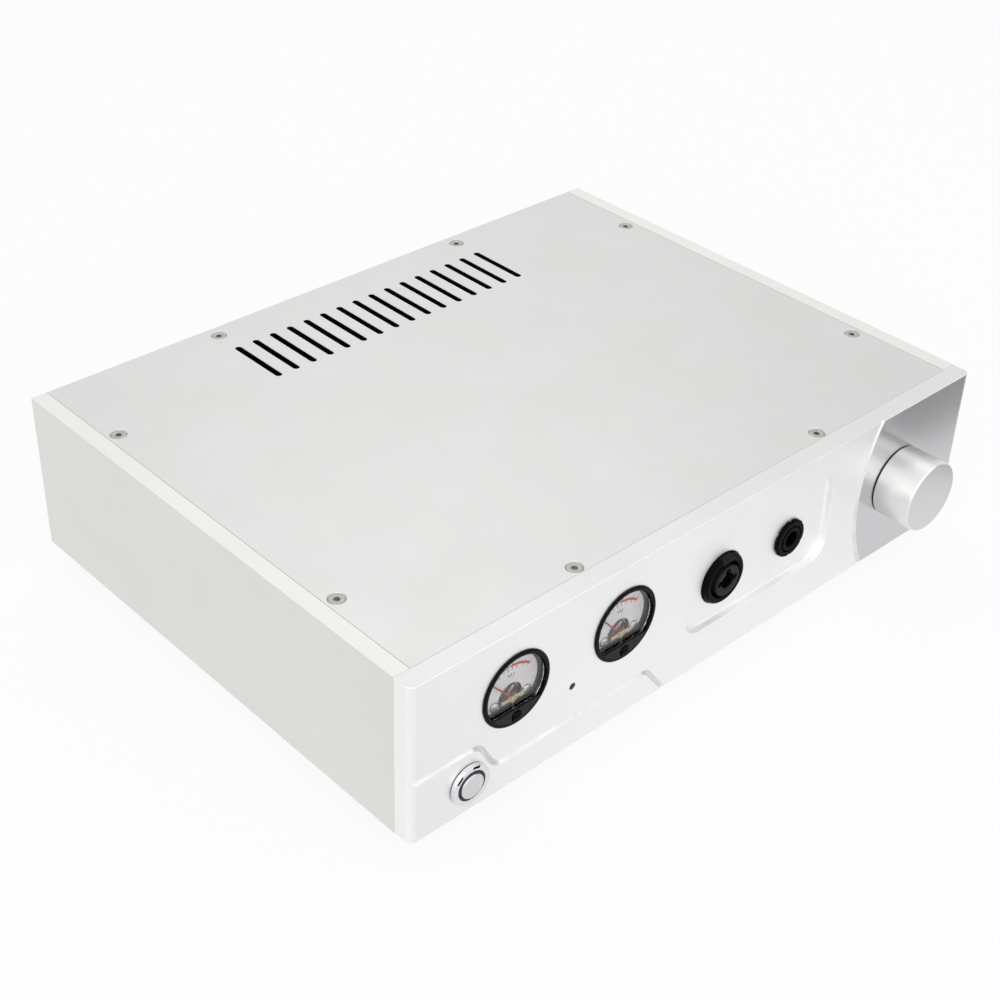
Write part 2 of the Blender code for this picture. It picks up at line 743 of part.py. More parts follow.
def wave_groove():
    section = vee_section()
    curve = bpy.data.curves.new("wave_groove", "CURVE")
    curve.dimensions = "2D"
    spline = curve.splines.new("POLY")
    path = wave_path()
    spline.points.add(len(path) - 1)
    for point, (x, y) in zip(spline.points, path):
        point.co = (x, y, 0.0, 1.0)
    curve.bevel_mode = "OBJECT"
    curve.bevel_object = section
    curve.use_fill_caps = True
    guide = bpy.data.objects.new("wave_guide", curve)
    CUTTERS.objects.link(guide)
    bpy.context.view_layer.update()
    graph = bpy.context.evaluated_depsgraph_get()
    mesh = bpy.data.meshes.new_from_object(guide.evaluated_get(graph), depsgraph=graph)
    bm = bmesh.new()
    bm.from_mesh(mesh)
    bmesh.ops.remove_doubles(bm, verts=bm.verts, dist=MERGE_DISTANCE)
    bpy.data.objects.remove(guide)
    bpy.data.objects.remove(section)
    return object_from_bmesh("wave_groove", bm, None)


def arc_groove():
    """A ring with a triangular section, of which only the left side meets the panel."""
    half = GROOVE_DEPTH + CUT_OVERRUN
    profile = [
        (ARC_RADIUS - half, CUT_OVERRUN),
        (ARC_RADIUS + half, CUT_OVERRUN),
        (ARC_RADIUS, -GROOVE_DEPTH),
    ]
    return turned("arc_groove", profile, ARC_STEPS, closed=True)


def socket_pocket():
    """The shallow pocket round the sockets: steep walls with a little draft, and a rounded foot."""
    draft = POCKET_DRAFT / POCKET_DEPTH
    levels = [(draft * CUT_OVERRUN, CUT_OVERRUN)]
    for step in range(POCKET_FOOT_STEPS + 1):
        angle = step / POCKET_FOOT_STEPS * math.pi / 2
        inwards = POCKET_DRAFT + POCKET_FOOT_RADIUS * (1 - math.cos(angle))
        levels.append((-inwards, POCKET_FLOOR + POCKET_FOOT_RADIUS * (1 - math.sin(angle))))
    rings = []
    for growth, height in levels:
        outline = rounded_outline(
            POCKET_WIDTH + 2 * growth,
            POCKET_HEIGHT + 2 * growth,
            POCKET_CORNER + growth,
            POCKET_CORNER_STEPS,
        )
        rings.append([(x, y, height) for x, y in outline])
    return loft("socket_pocket", rings)


def front_hole(name, centre, radius, steps):
    hole = cylinder(name, (0, 0), radius, -FRONT_THICKNESS - CUT_OVERRUN, CUT_OVERRUN, steps)
    return place_on_front(hole, centre)


def cover_screw_places():
    """Where the cover's eight screws are, as (x, y)."""
    side_rows = (FRONT_Y + COVER_SCREW_FROM_FRONT, REAR_Y - COVER_SCREW_FROM_REAR)
    places = []
    for y in side_rows:
        places.append((CASE_LEFT + COVER_SCREW_FROM_SIDE, y))
        places.append((CASE_RIGHT - COVER_SCREW_FROM_SIDE, y))
    for y in (FRONT_Y + COVER_SCREW_ROW_FROM_FRONT, REAR_Y - COVER_SCREW_ROW_FROM_REAR):
        places.append((-COVER_SCREW_ROW_SPACING / 2, y))
        places.append((COVER_SCREW_ROW_SPACING / 2, y))
    return places


def screw_shank_holes(name, places):
    """Straight holes for the cover screws, through whatever is below the cover."""
    bm = bmesh.new()
    radius = COVER_SCREW_SHANK_RADIUS + RUNNING_GAP
    bottom = CASE_TOP - COVER_SCREW_SINK - COVER_SCREW_LENGTH - CUT_OVERRUN
    for x, y in places:
        add_cylinder(bm, (x, y), radius, bottom, COVER_UNDERSIDE, COVER_SCREW_STEPS)
    return object_from_bmesh(name, bm, None)


def lug(name, x, near, far):
    top = COVER_UNDERSIDE - SEAT_GAP
    low = (x - LUG_WIDTH / 2, near, top - LUG_HEIGHT)
    high = (x + LUG_WIDTH / 2, far, top)
    return box(name, low, high)


def is_front_side_edge(edge):
    front = FRONT_Y + CUT_OVERRUN
    return runs_along(edge, 2) and all(vertex.co.y < front for vertex in edge.verts)


def is_front_rim_edge(edge):
    front = FRONT_Y + FRONT_SIDE_ROUNDING + FRONT_EDGE_CHAMFER
    level = abs(edge.verts[0].co.z - edge.verts[1].co.z) < FRONT_EDGE_CHAMFER
    outside = len({face.normal.to_tuple(NORMAL_DIGITS) for face in edge.link_faces}) == 2
    ahead = all(vertex.co.y < front for vertex in edge.verts)
    return level and outside and ahead


def build_front_panel():
    bm = bmesh.new()
    low = (CASE_LEFT, FRONT_Y, CASE_UNDERSIDE)
    high = (CASE_RIGHT, INSIDE_FRONT_Y, CASE_TOP)
    add_box(bm, low, high)
    bevel_edges(bm, is_front_side_edge, FRONT_SIDE_ROUNDING, FRONT_SIDE_ROUNDING_STEPS)
    bm.normal_update()
    bevel_edges(bm, is_front_rim_edge, FRONT_EDGE_CHAMFER, 1)
    panel = object_from_bmesh("front_panel", bm, ANODISED)

    lug_far = INSIDE_FRONT_Y + LUG_LENGTH
    lug_near = INSIDE_FRONT_Y - JOIN_OVERLAP
    half_row = COVER_SCREW_ROW_SPACING / 2
    join(panel, lug("front_lug_left", -half_row, lug_near, lug_far))
    join(panel, lug("front_lug_right", half_row, lug_near, lug_far))

    pocket = place_on_front(socket_pocket(), POCKET_CENTRE)
    arc = place_on_front(arc_groove(), (KNOB_CENTRE[0] - ARC_FROM_KNOB + ARC_RADIUS, MIDDLE))
    wave = place_on_front(wave_groove(), (0.0, 0.0))
    cut(panel, pocket, arc, wave)

    barrel = METER_BARREL_RADIUS + RUNNING_GAP
    for side, centre in METER_CENTRES.items():
        cut(panel, front_hole(f"meter_hole_{side}", centre, barrel, METER_STEPS))
    button = BUTTON_BARREL_RADIUS + RUNNING_GAP
    cut(panel, front_hole("button_hole", BUTTON_CENTRE, button, BUTTON_STEPS))
    lens = INDICATOR_RADIUS + RUNNING_GAP
    cut(panel, front_hole("indicator_hole", INDICATOR_CENTRE, lens, INDICATOR_STEPS))
    combo = COMBO_RADIUS + RUNNING_GAP
    cut(panel, front_hole("combo_hole", COMBO_CENTRE, combo, COMBO_STEPS))
    jack = JACK_BUSHING_RADIUS + RUNNING_GAP
    cut(panel, front_hole("jack_hole", JACK_CENTRE, jack, JACK_STEPS))
    bushing = POT_BUSHING_RADIUS + RUNNING_GAP
    cut(panel, front_hole("pot_hole", KNOB_CENTRE, bushing, POT_STEPS))

    half_pot = POT_SIDE / 2 + SEAT_GAP
    pot_pocket = rounded_box(
        "pot_pocket",
        (-half_pot, -half_pot, -FRONT_THICKNESS - CUT_OVERRUN),
        (half_pot, half_pot, -FRONT_THICKNESS + POT_POCKET_DEPTH),
        2,
        POT_CORNER,
        POT_CORNER_STEPS,
    )
    cut(panel, place_on_front(pot_pocket, KNOB_CENTRE))
    rows = [place_at for place_at in cover_screw_places() if place_at[1] < lug_far]
    cut(panel, screw_shank_holes("front_lug_holes", rows))


# Case sides, covers and rear


def side_outline():
    """The extruded side's section, from its outer face inwards, as (inwards, up)."""
    rail = SIDE_RAIL_WIDTH
    ledge_low = CASE_HEIGHT - COVER_THICKNESS - SEAT_GAP - SIDE_LEDGE_THICKNESS
    ledge_high = CASE_HEIGHT - COVER_THICKNESS - SEAT_GAP
    floor_low = FLOOR_THICKNESS + SEAT_GAP
    floor_high = floor_low + SIDE_LEDGE_THICKNESS
    block = SIDE_WALL + SCREW_BLOCK_SIDE
    reach = SIDE_LEDGE_REACH
    return [
        (0.0, 0.0),
        (rail, 0.0),
        (rail, floor_low),
        (reach, floor_low),
        (reach, floor_high),
        (block, floor_high),
        (block, floor_high + SCREW_BLOCK_SIDE),
        (SIDE_WALL, floor_high + SCREW_BLOCK_SIDE),
        (SIDE_WALL, ledge_low - SCREW_BLOCK_SIDE),
        (block, ledge_low - SCREW_BLOCK_SIDE),
        (block, ledge_low),
        (reach, ledge_low),
        (reach, ledge_high),
        (rail, ledge_high),
        (rail, CASE_HEIGHT),
        (0.0, CASE_HEIGHT),
    ]


def screw_bore_places():
    """The bores that run the length of a side, as (inwards, up)."""
    inwards = SIDE_WALL + SCREW_BLOCK_SIDE / 2
    low = FLOOR_THICKNESS + SEAT_GAP + SIDE_LEDGE_THICKNESS + SCREW_BLOCK_SIDE / 2
    return [(inwards, low), (inwards, CASE_HEIGHT + FLOOR_THICKNESS - COVER_THICKNESS - low)]


def build_side(name, outer_x, inwards):
    """inwards is 1 on the left and -1 on the right."""
    outline = [(outer_x + inwards * x, CASE_UNDERSIDE + z) for x, z in side_outline()]
    start = INSIDE_FRONT_Y + SEAT_GAP
    side = prism(name, outline, -REAR_Y, -start, ANODISED)
    place(side, (0.0, 0.0, 0.0), "front")
    bores = bmesh.new()
    for x, z in screw_bore_places():
        centre = (outer_x + inwards * x, CASE_UNDERSIDE + z)
        bottom = -REAR_Y - CUT_OVERRUN
        top = -start + CUT_OVERRUN
        add_cylinder(bores, centre, SCREW_BORE_RADIUS, bottom, top, BORE_STEPS)
    cut(side, place(object_from_bmesh(name + "_bores", bores, None), (0.0, 0.0, 0.0), "front"))
    edges = sorted((outer_x + inwards * SIDE_WALL, outer_x + inwards * (SIDE_LEDGE_REACH + CUT_OVERRUN)))
    rebate = box(
        name + "_rebate",
        (edges[0], REAR_INSIDE_Y - SEAT_GAP, FLOOR_TOP + SEAT_GAP / 2),
        (edges[1], REAR_Y + CUT_OVERRUN, COVER_UNDERSIDE - SEAT_GAP / 2),
    )
    cut(side, rebate)
    places = [p for p in cover_screw_places() if abs(p[0] - outer_x) < SIDE_LEDGE_REACH]
    cut(side, screw_shank_holes(name + "_screw_holes", places))
    for item in side.children:
        item.matrix_parent_inverse = side.matrix_world.inverted()


def vent_slots():
    """Slots with round ends, in a row across the middle of the cover."""
    bm = bmesh.new()
    half = VENT_WIDTH / 2
    far = REAR_Y - VENT_FROM_REAR - half
    near = REAR_Y - VENT_FROM_REAR - VENT_LENGTH + half
    for number in range(VENT_COUNT):
        x = (number - (VENT_COUNT - 1) / 2) * VENT_PITCH
        outline = arc_points((x, far), half, 0.0, math.pi, VENT_END_STEPS)
        outline += arc_points((x, near), half, math.pi, 2 * math.pi, VENT_END_STEPS)
        add_prism(bm, outline, COVER_UNDERSIDE - CUT_OVERRUN, CASE_TOP + CUT_OVERRUN)
    return object_from_bmesh("vent_slots", bm, None)


def countersinks():
    """Conical seats and clearance holes for the cover screws."""
    bm = bmesh.new()
    hole = COVER_SCREW_SHANK_RADIUS + RUNNING_GAP
    mouth = COVER_SCREW_HEAD_RADIUS + RUNNING_GAP
    seat_top = CASE_TOP - COVER_SCREW_SINK
    seat_bottom = seat_top - (mouth - hole)
    for x, y in cover_screw_places():
        add_cylinder(bm, (x, y), mouth, seat_top, CASE_TOP + CUT_OVERRUN, COVER_SCREW_STEPS)
        add_cylinder(bm, (x, y), hole, COVER_UNDERSIDE - CUT_OVERRUN, seat_bottom, COVER_SCREW_STEPS)
        bmesh.ops.create_cone(
            bm,
            cap_ends=True,
            segments=COVER_SCREW_STEPS,
            radius1=hole,
            radius2=mouth,
            depth=seat_top - seat_bottom,
            matrix=Matrix.Translation((x, y, (seat_top + seat_bottom) / 2)),
        )
    bmesh.ops.remove_doubles(bm, verts=bm.verts, dist=MERGE_DISTANCE)
    doubled = [face for face in bm.faces if all(len(edge.link_faces) > 2 for edge in face.edges)]
    bmesh.ops.delete(bm, geom=doubled, context="FACES")
    return object_from_bmesh("countersinks", bm, None)


def build_covers():
    inner = CASE_WIDTH / 2 - SIDE_RAIL_WIDTH - SEAT_GAP
    front = INSIDE_FRONT_Y + SEAT_GAP
    cover = box("top_cover", (-inner, front, COVER_UNDERSIDE), (inner, REAR_Y, CASE_TOP), ANODISED)
    cut(cover, vent_slots(), countersinks())

    low = (-inner, front, CASE_UNDERSIDE)
    bottom = box("bottom_cover", low, (inner, REAR_Y, FLOOR_TOP), ANODISED)
    holes = bmesh.new()
    for x, y in foot_places():
        below = CASE_UNDERSIDE - CUT_OVERRUN
        above = FLOOR_TOP + CUT_OVERRUN
        add_cylinder(holes, (x, y), FOOT_BORE_RADIUS, below, above, BORE_STEPS)
    cut(bottom, object_from_bmesh("foot_holes", holes, None))


def build_rear_panel():
    half = CASE_WIDTH / 2 - SIDE_WALL - SEAT_GAP
    bottom = FLOOR_TOP + SEAT_GAP
    top = COVER_UNDERSIDE - SEAT_GAP
    low = (-half, REAR_INSIDE_Y, bottom)
    panel = box("rear_panel", low, (half, REAR_FACE_Y, top), ANODISED)
    lug_near = REAR_INSIDE_Y - LUG_LENGTH
    lug_far = REAR_INSIDE_Y + JOIN_OVERLAP
    half_row = COVER_SCREW_ROW_SPACING / 2
    join(panel, lug("rear_lug_left", -half_row, lug_near, lug_far))
    join(panel, lug("rear_lug_right", half_row, lug_near, lug_far))
    rows = [place_at for place_at in cover_screw_places() if place_at[1] > lug_near]
    cut(panel, screw_shank_holes("rear_lug_holes", rows))

    half_width = INLET_BODY_WIDTH / 2 + SEAT_GAP
    half_height = INLET_BODY_HEIGHT / 2 + SEAT_GAP
    depth = REAR_THICKNESS + CUT_OVERRUN
    opening = box(
        "inlet_opening", (-half_width, -half_height, -depth), (half_width, half_height, CUT_OVERRUN)
    )
    cut(panel, place_on_rear(opening, INLET_CENTRE))
    for number, centre in enumerate(rca_places(), 1):
        radius = RCA_THREAD_RADIUS + RUNNING_GAP
        hole = cylinder(f"rca_hole_{number}", (0, 0), radius, -depth, CUT_OVERRUN, RCA_STEPS)
        cut(panel, place_on_rear(hole, centre))
    bores = bmesh.new()
    for x, z in screw_bore_places():
        for centre_x in (CASE_LEFT + x, CASE_RIGHT - x):
            centre = (centre_x, CASE_UNDERSIDE + z)
            radius = COVER_SCREW_SHANK_RADIUS + RUNNING_GAP
            bottom = -REAR_FACE_Y - CUT_OVERRUN
            top = -REAR_INSIDE_Y + CUT_OVERRUN
            add_cylinder(bores, centre, radius, bottom, top, BORE_STEPS)
    cut(panel, place(object_from_bmesh("rear_screw_holes", bores, None), (0.0, 0.0, 0.0), "front"))


def build_cover_screws():
    """Countersunk screws with a hexagon socket, all with one mesh."""
    head = COVER_SCREW_HEAD_RADIUS
    shank = COVER_SCREW_SHANK_RADIUS
    profile = [
        (0.0, 0.0),
        (head, 0.0),
        (shank, shank - head),
        (shank, -COVER_SCREW_LENGTH),
        (0.0, -COVER_SCREW_LENGTH),
    ]
    pattern = turned("cover_screw_pattern", profile, COVER_SCREW_STEPS, STEEL)
    socket = cylinder(
        "hexagon_socket",
        (0, 0),
        COVER_SCREW_HEX_RADIUS,
        -COVER_SCREW_HEX_DEPTH,
        CUT_OVERRUN,
        HEXAGON,
    )
    mesh = settled_mesh(cut(pattern, socket))
    mesh.name = "cover_screw"
    bpy.data.objects.remove(pattern)
    bpy.data.objects.remove(socket)
    for number, (x, y) in enumerate(cover_screw_places(), 1):
        screw = bpy.data.objects.new(f"cover_screw_{number}", mesh)
        PARTS.objects.link(screw)
        place(screw, (x, y, CASE_TOP - COVER_SCREW_SINK))


def foot_places():
    left = CASE_LEFT + FOOT_INSET_SIDE
    front = FRONT_Y + FOOT_INSET_FRONT
    rear = REAR_Y - FOOT_INSET_FRONT
    return [(left, front), (-left, front), (left, rear), (-left, rear)]


def build_feet():
    top = FOOT_HEIGHT - SEAT_GAP
    narrow = FOOT_RADIUS - FOOT_TAPER
    profile = [
        (FOOT_BORE_RADIUS, top),
        (FOOT_RADIUS, top),
        (FOOT_RADIUS, top - FOOT_TAPER),
        (narrow, 0.0),
        (FOOT_COUNTERBORE_RADIUS, 0.0),
        (FOOT_COUNTERBORE_RADIUS, FOOT_COUNTERBORE_DEPTH),
        (FOOT_BORE_RADIUS, FOOT_COUNTERBORE_DEPTH),
    ]
    for number, (x, y) in enumerate(foot_places(), 1):
        foot = turned(f"foot_{number}", profile, FOOT_STEPS, RUBBER, closed=True)
        place(foot, (x, y, 0.0))


# Volume control


def build_volume_control():
    """In the knob's own frame +Z points out of the panel, and 0 is the panel's front face."""
    base = KNOB_LIFT
    face = KNOB_LIFT + KNOB_LENGTH
    bore = SHAFT_RADIUS + RUNNING_GAP
    recess = base + KNOB_RECESS_DEPTH
    bore_end = base + KNOB_BORE_DEPTH
    outline = [
        (0.0, face),
        (KNOB_RADIUS - KNOB_CHAMFER, face),
        (KNOB_RADIUS, face - KNOB_CHAMFER),
        (KNOB_RADIUS, base + KNOB_CHAMFER / 2),
        (KNOB_RADIUS - KNOB_CHAMFER / 2, base),
        (KNOB_RECESS_RADIUS, base),
        (KNOB_RECESS_RADIUS, recess),
        (bore, recess),
        (bore, bore_end),
        (0.0, bore_end),
    ]
    place_on_front(turned("volume_knob", outline, KNOB_STEPS, TURNED_METAL), KNOB_CENTRE)

    body_front = POT_POCKET_DEPTH - FRONT_THICKNESS - SEAT_GAP
    body_rear = body_front - POT_LENGTH
    half = POT_SIDE / 2
    body = rounded_box(
        "pot_body",
        (-half, -half, body_rear),
        (half, half, body_front),
        2,
        POT_CORNER,
        POT_CORNER_STEPS,
        STEEL,
    )
    bushing = cylinder(
        "pot_bushing",
        (0, 0),
        POT_BUSHING_RADIUS,
        body_front - JOIN_OVERLAP,
        POT_BUSHING_REACH,
        POT_STEPS,
    )
    join(body, bushing)
    shaft_bottom = body_front - SHAFT_DEPTH_IN_POT
    shaft_bore = cylinder(
        "shaft_bore",
        (0, 0),
        bore,
        shaft_bottom - RUNNING_GAP,
        POT_BUSHING_REACH + CUT_OVERRUN,
        POT_STEPS,
    )
    cut(body, shaft_bore)
    for number in range(POT_PIN_COUNT):
        x = (number - (POT_PIN_COUNT - 1) / 2) * POT_PIN_PITCH
        side = POT_PIN_SIDE / 2
        rear = body_rear + POT_PIN_PITCH / 2
        pin = box(
            f"pot_pin_{number + 1}",
            (x - side, -half - POT_PIN_LENGTH, rear - side),
            (x + side, -half + JOIN_OVERLAP, rear + side),
        )
        join(body, pin)
    place_on_front(body, KNOB_CENTRE)

    shaft_top = base + SHAFT_DEPTH_IN_KNOB
    shaft_profile = [
        (0.0, shaft_top),
        (SHAFT_RADIUS, shaft_top),
        (SHAFT_RADIUS, shaft_bottom),
        (0.0, shaft_bottom),
    ]
    place_on_front(turned("pot_shaft", shaft_profile, POT_STEPS, STEEL), KNOB_CENTRE)

    thread = POT_BUSHING_RADIUS + RUNNING_GAP
    nut_top = SEAT_GAP + POT_NUT_THICKNESS
    nut = cylinder("pot_nut", (0, 0), POT_NUT_RADIUS, SEAT_GAP, nut_top, HEXAGON, STEEL)
    above = nut_top + CUT_OVERRUN
    cut(nut, cylinder("pot_nut_thread", (0, 0), thread, -CUT_OVERRUN, above, POT_STEPS))
    place_on_front(nut, KNOB_CENTRE)


# Power button


def build_power_button():
    seat = SEAT_GAP
    top = BUTTON_FLANGE_HEIGHT
    cap_bore = BUTTON_CAP_RADIUS + RUNNING_GAP
    ring_outer = cap_bore + BUTTON_RING_WIDTH
    ring_bore = ring_outer + SEAT_GAP
    ring_seat = top - BUTTON_RING_HEIGHT - SEAT_GAP
    cap_top = top + BUTTON_CAP_PROUD
    cap_bottom = cap_top - BUTTON_CAP_LENGTH
    bore_floor = cap_bottom - BUTTON_TRAVEL - RUNNING_GAP
    barrel_end = -BUTTON_BARREL_LENGTH
    body_profile = [
        (0.0, bore_floor),
        (cap_bore, bore_floor),
        (cap_bore, ring_seat),
        (ring_bore, ring_seat),
        (ring_bore, top),
        (BUTTON_FLANGE_RADIUS - BUTTON_FLANGE_CHAMFER, top),
        (BUTTON_FLANGE_RADIUS, top - BUTTON_FLANGE_CHAMFER),
        (BUTTON_FLANGE_RADIUS, seat),
        (BUTTON_BARREL_RADIUS, seat),
        (BUTTON_BARREL_RADIUS, barrel_end),
        (0.0, barrel_end),
    ]
    body = turned("power_button_body", body_profile, BUTTON_STEPS, TURNED_METAL)
    mark_ring = BUTTON_FLANGE_RADIUS - BUTTON_MARK_FROM_EDGE
    for number, angle in enumerate(BUTTON_MARK_ANGLES, 1):
        mark = box(
            f"button_mark_{number}",
            (-BUTTON_MARK_LENGTH / 2, -BUTTON_MARK_WIDTH / 2, top - BUTTON_MARK_DEPTH),
            (BUTTON_MARK_LENGTH / 2, BUTTON_MARK_WIDTH / 2, top + CUT_OVERRUN),
        )
        turn = Matrix.Rotation(angle - math.pi / 2, 4, "Z")
        mark.matrix_world = turn @ Matrix.Translation((0.0, mark_ring, 0.0))
        cut(body, mark)
    for number in range(BUTTON_TAB_COUNT):
        tab = box(
            f"button_tab_{number + 1}",
            (-BUTTON_TAB_WIDTH / 2, -BUTTON_TAB_THICKNESS / 2, barrel_end - BUTTON_TAB_LENGTH),
            (BUTTON_TAB_WIDTH / 2, BUTTON_TAB_THICKNESS / 2, barrel_end + JOIN_OVERLAP),
        )
        turn = Matrix.Rotation(number * 2 * math.pi / BUTTON_TAB_COUNT, 4, "Z")
        tab.matrix_world = turn @ Matrix.Translation((0.0, BUTTON_TAB_RING_RADIUS, 0.0))
        join(body, tab)
    place_on_front(body, BUTTON_CENTRE)

    ring_profile = [
        (cap_bore, top),
        (ring_outer, top),
        (ring_outer, ring_seat + SEAT_GAP),
        (cap_bore, ring_seat + SEAT_GAP),
    ]
    ring = turned("power_button_ring", ring_profile, BUTTON_STEPS, RING_BLUE, closed=True)
    place_on_front(ring, BUTTON_CENTRE)

    cap_profile = [
        (0.0, cap_top),
        (BUTTON_CAP_RADIUS - BUTTON_CAP_CHAMFER, cap_top),
        (BUTTON_CAP_RADIUS, cap_top - BUTTON_CAP_CHAMFER),
        (BUTTON_CAP_RADIUS, cap_bottom),
        (0.0, cap_bottom),
    ]
    place_on_front(turned("power_button_cap", cap_profile, BUTTON_STEPS, TURNED_METAL), BUTTON_CENTRE)

    nut_top = -FRONT_THICKNESS - SEAT_GAP
    nut_bottom = nut_top - BUTTON_NUT_THICKNESS
    nut = cylinder(
        "power_button_nut", (0, 0), BUTTON_NUT_RADIUS, nut_bottom, nut_top, HEXAGON, STEEL
    )
    thread = BUTTON_BARREL_RADIUS + RUNNING_GAP
    bore = cylinder(
        "button_nut_thread",
        (0, 0),
        thread,
        nut_bottom - CUT_OVERRUN,
        nut_top + CUT_OVERRUN,
        BUTTON_STEPS,
    )
    cut(nut, bore)
    turned_nut = place_on_front(nut, BUTTON_CENTRE)
    turned_nut.matrix_world = turned_nut.matrix_world @ Matrix.Rotation(math.radians(90), 4, "Z")


# Meters


def meter_heights():
    """Heights along a meter's own axis, from the panel's face, positive towards the viewer."""
    window_top = METER_BEZEL_HEIGHT - WINDOW_RECESS
    dial_top = window_top - DIAL_DEPTH
    yoke_top = dial_top - DIAL_THICKNESS - YOKE_DEPTH_BEHIND_DIAL
    return {
        "window_top": window_top,
        "window_bottom": window_top - WINDOW_THICKNESS,
        "dial_top": dial_top,
        "dial_bottom": dial_top - DIAL_THICKNESS,
        "yoke_top": yoke_top,
        "yoke_floor": yoke_top - YOKE_LENGTH,
        "case_floor": -METER_LENGTH + METER_REAR_WALL,
        "pointer_bottom": dial_top + RUNNING_GAP,
        "core_top": yoke_top - COIL_WIRE,
    }


def segment_outline(radius, chord, steps):
    """The part of a disc below a level chord that lies this far under its centre."""
    half_angle = math.acos(chord / radius)
    down = -math.pi / 2
    return arc_points((0.0, 0.0), radius, down - half_angle, down + half_angle, steps)


def build_meter_case(side, centre, heights):
    inner = METER_BARREL_RADIUS - METER_BARREL_WALL
    mouth = METER_BEZEL_RADIUS - METER_RIM_WIDTH
    ledge = heights["window_bottom"] - SEAT_GAP
    profile = [
        (0.0, heights["case_floor"]),
        (inner, heights["case_floor"]),
        (inner, ledge),
        (mouth, ledge),
        (mouth, METER_BEZEL_HEIGHT),
        (METER_BEZEL_RADIUS - METER_BEZEL_CHAMFER, METER_BEZEL_HEIGHT),
        (METER_BEZEL_RADIUS, METER_BEZEL_HEIGHT - METER_BEZEL_CHAMFER),
        (METER_BEZEL_RADIUS, SEAT_GAP),
        (METER_BARREL_RADIUS, SEAT_GAP),
        (METER_BARREL_RADIUS, -METER_LENGTH),
        (0.0, -METER_LENGTH),
    ]
    case = turned(f"meter_{side}_case", profile, METER_STEPS, GLOSS_BLACK)
    apron_radius = (mouth + METER_BEZEL_RADIUS - METER_BEZEL_CHAMFER) / 2
    apron_bottom = METER_BEZEL_HEIGHT - APRON_THICKNESS
    outline = segment_outline(apron_radius, APRON_CHORD, METER_STEPS // 3)
    apron_top = METER_BEZEL_HEIGHT
    join(case, prism(f"meter_{side}_apron", outline, apron_bottom, apron_top))
    for x in (-DIAL_POST_SPREAD, DIAL_POST_SPREAD):
        post = cylinder(
            f"meter_{side}_post",
            (x, -DIAL_POST_DROP),
            DIAL_POST_RADIUS,
            heights["case_floor"] - JOIN_OVERLAP,
            heights["dial_bottom"] - SEAT_GAP,
            DIAL_POST_STEPS,
        )
        join(case, post)
    for x in (-METER_STUD_SPREAD, METER_STUD_SPREAD):
        stud = cylinder(
            f"meter_{side}_stud",
            (x, 0.0),
            METER_STUD_RADIUS,
            -METER_LENGTH - METER_STUD_LENGTH,
            -METER_LENGTH + JOIN_OVERLAP,
            DIAL_POST_STEPS,
        )
        join(case, stud)
    hole = cylinder(
        f"meter_{side}_zero_hole",
        (0.0, -ZERO_SCREW_DROP),
        ZERO_SCREW_RADIUS + RUNNING_GAP,
        apron_bottom - CUT_OVERRUN,
        METER_BEZEL_HEIGHT + CUT_OVERRUN,
        ZERO_SCREW_STEPS,
    )
    cut(case, hole)
    place_on_front(case, centre)


def build_meter_window(side, centre, heights):
    radius = METER_BEZEL_RADIUS - METER_RIM_WIDTH - SEAT_GAP
    chord = ZERO_SCREW_DROP - ZERO_SCREW_RADIUS - RUNNING_GAP - SEAT_GAP
    half_angle = math.acos(chord / radius)
    down = -math.pi / 2
    start = down + half_angle
    end = down - half_angle + 2 * math.pi
    outline = arc_points((0.0, 0.0), radius, start, end, METER_STEPS)
    window = prism(
        f"meter_{side}_window", outline, heights["window_bottom"], heights["window_top"], CLEAR
    )
    place_on_front(window, centre)


def build_meter_dial(side, centre, heights):
    """A plate with a flat foot and an arch cut out round the movement."""
    radius = METER_BARREL_RADIUS - METER_BARREL_WALL - SEAT_GAP
    half_angle = math.acos(DIAL_FOOT / radius)
    down = -math.pi / 2
    start = down + half_angle
    end = down - half_angle + 2 * math.pi
    outline = arc_points((0.0, 0.0), radius, start, end, METER_STEPS)
    dial = prism(f"meter_{side}_dial", outline, heights["dial_bottom"], heights["dial_top"], DIAL_WHITE)
    arch = arc_points((0.0, -PIVOT_DROP), DIAL_ARCH_RADIUS, 0.0, math.pi, METER_STEPS // 2)
    foot = -DIAL_FOOT - CUT_OVERRUN
    arch += [(-DIAL_ARCH_RADIUS, foot), (DIAL_ARCH_RADIUS, foot)]
    low = heights["dial_bottom"] - CUT_OVERRUN
    cut(dial, prism(f"meter_{side}_arch", arch, low, heights["dial_top"] + CUT_OVERRUN))
    place_on_front(dial, centre)


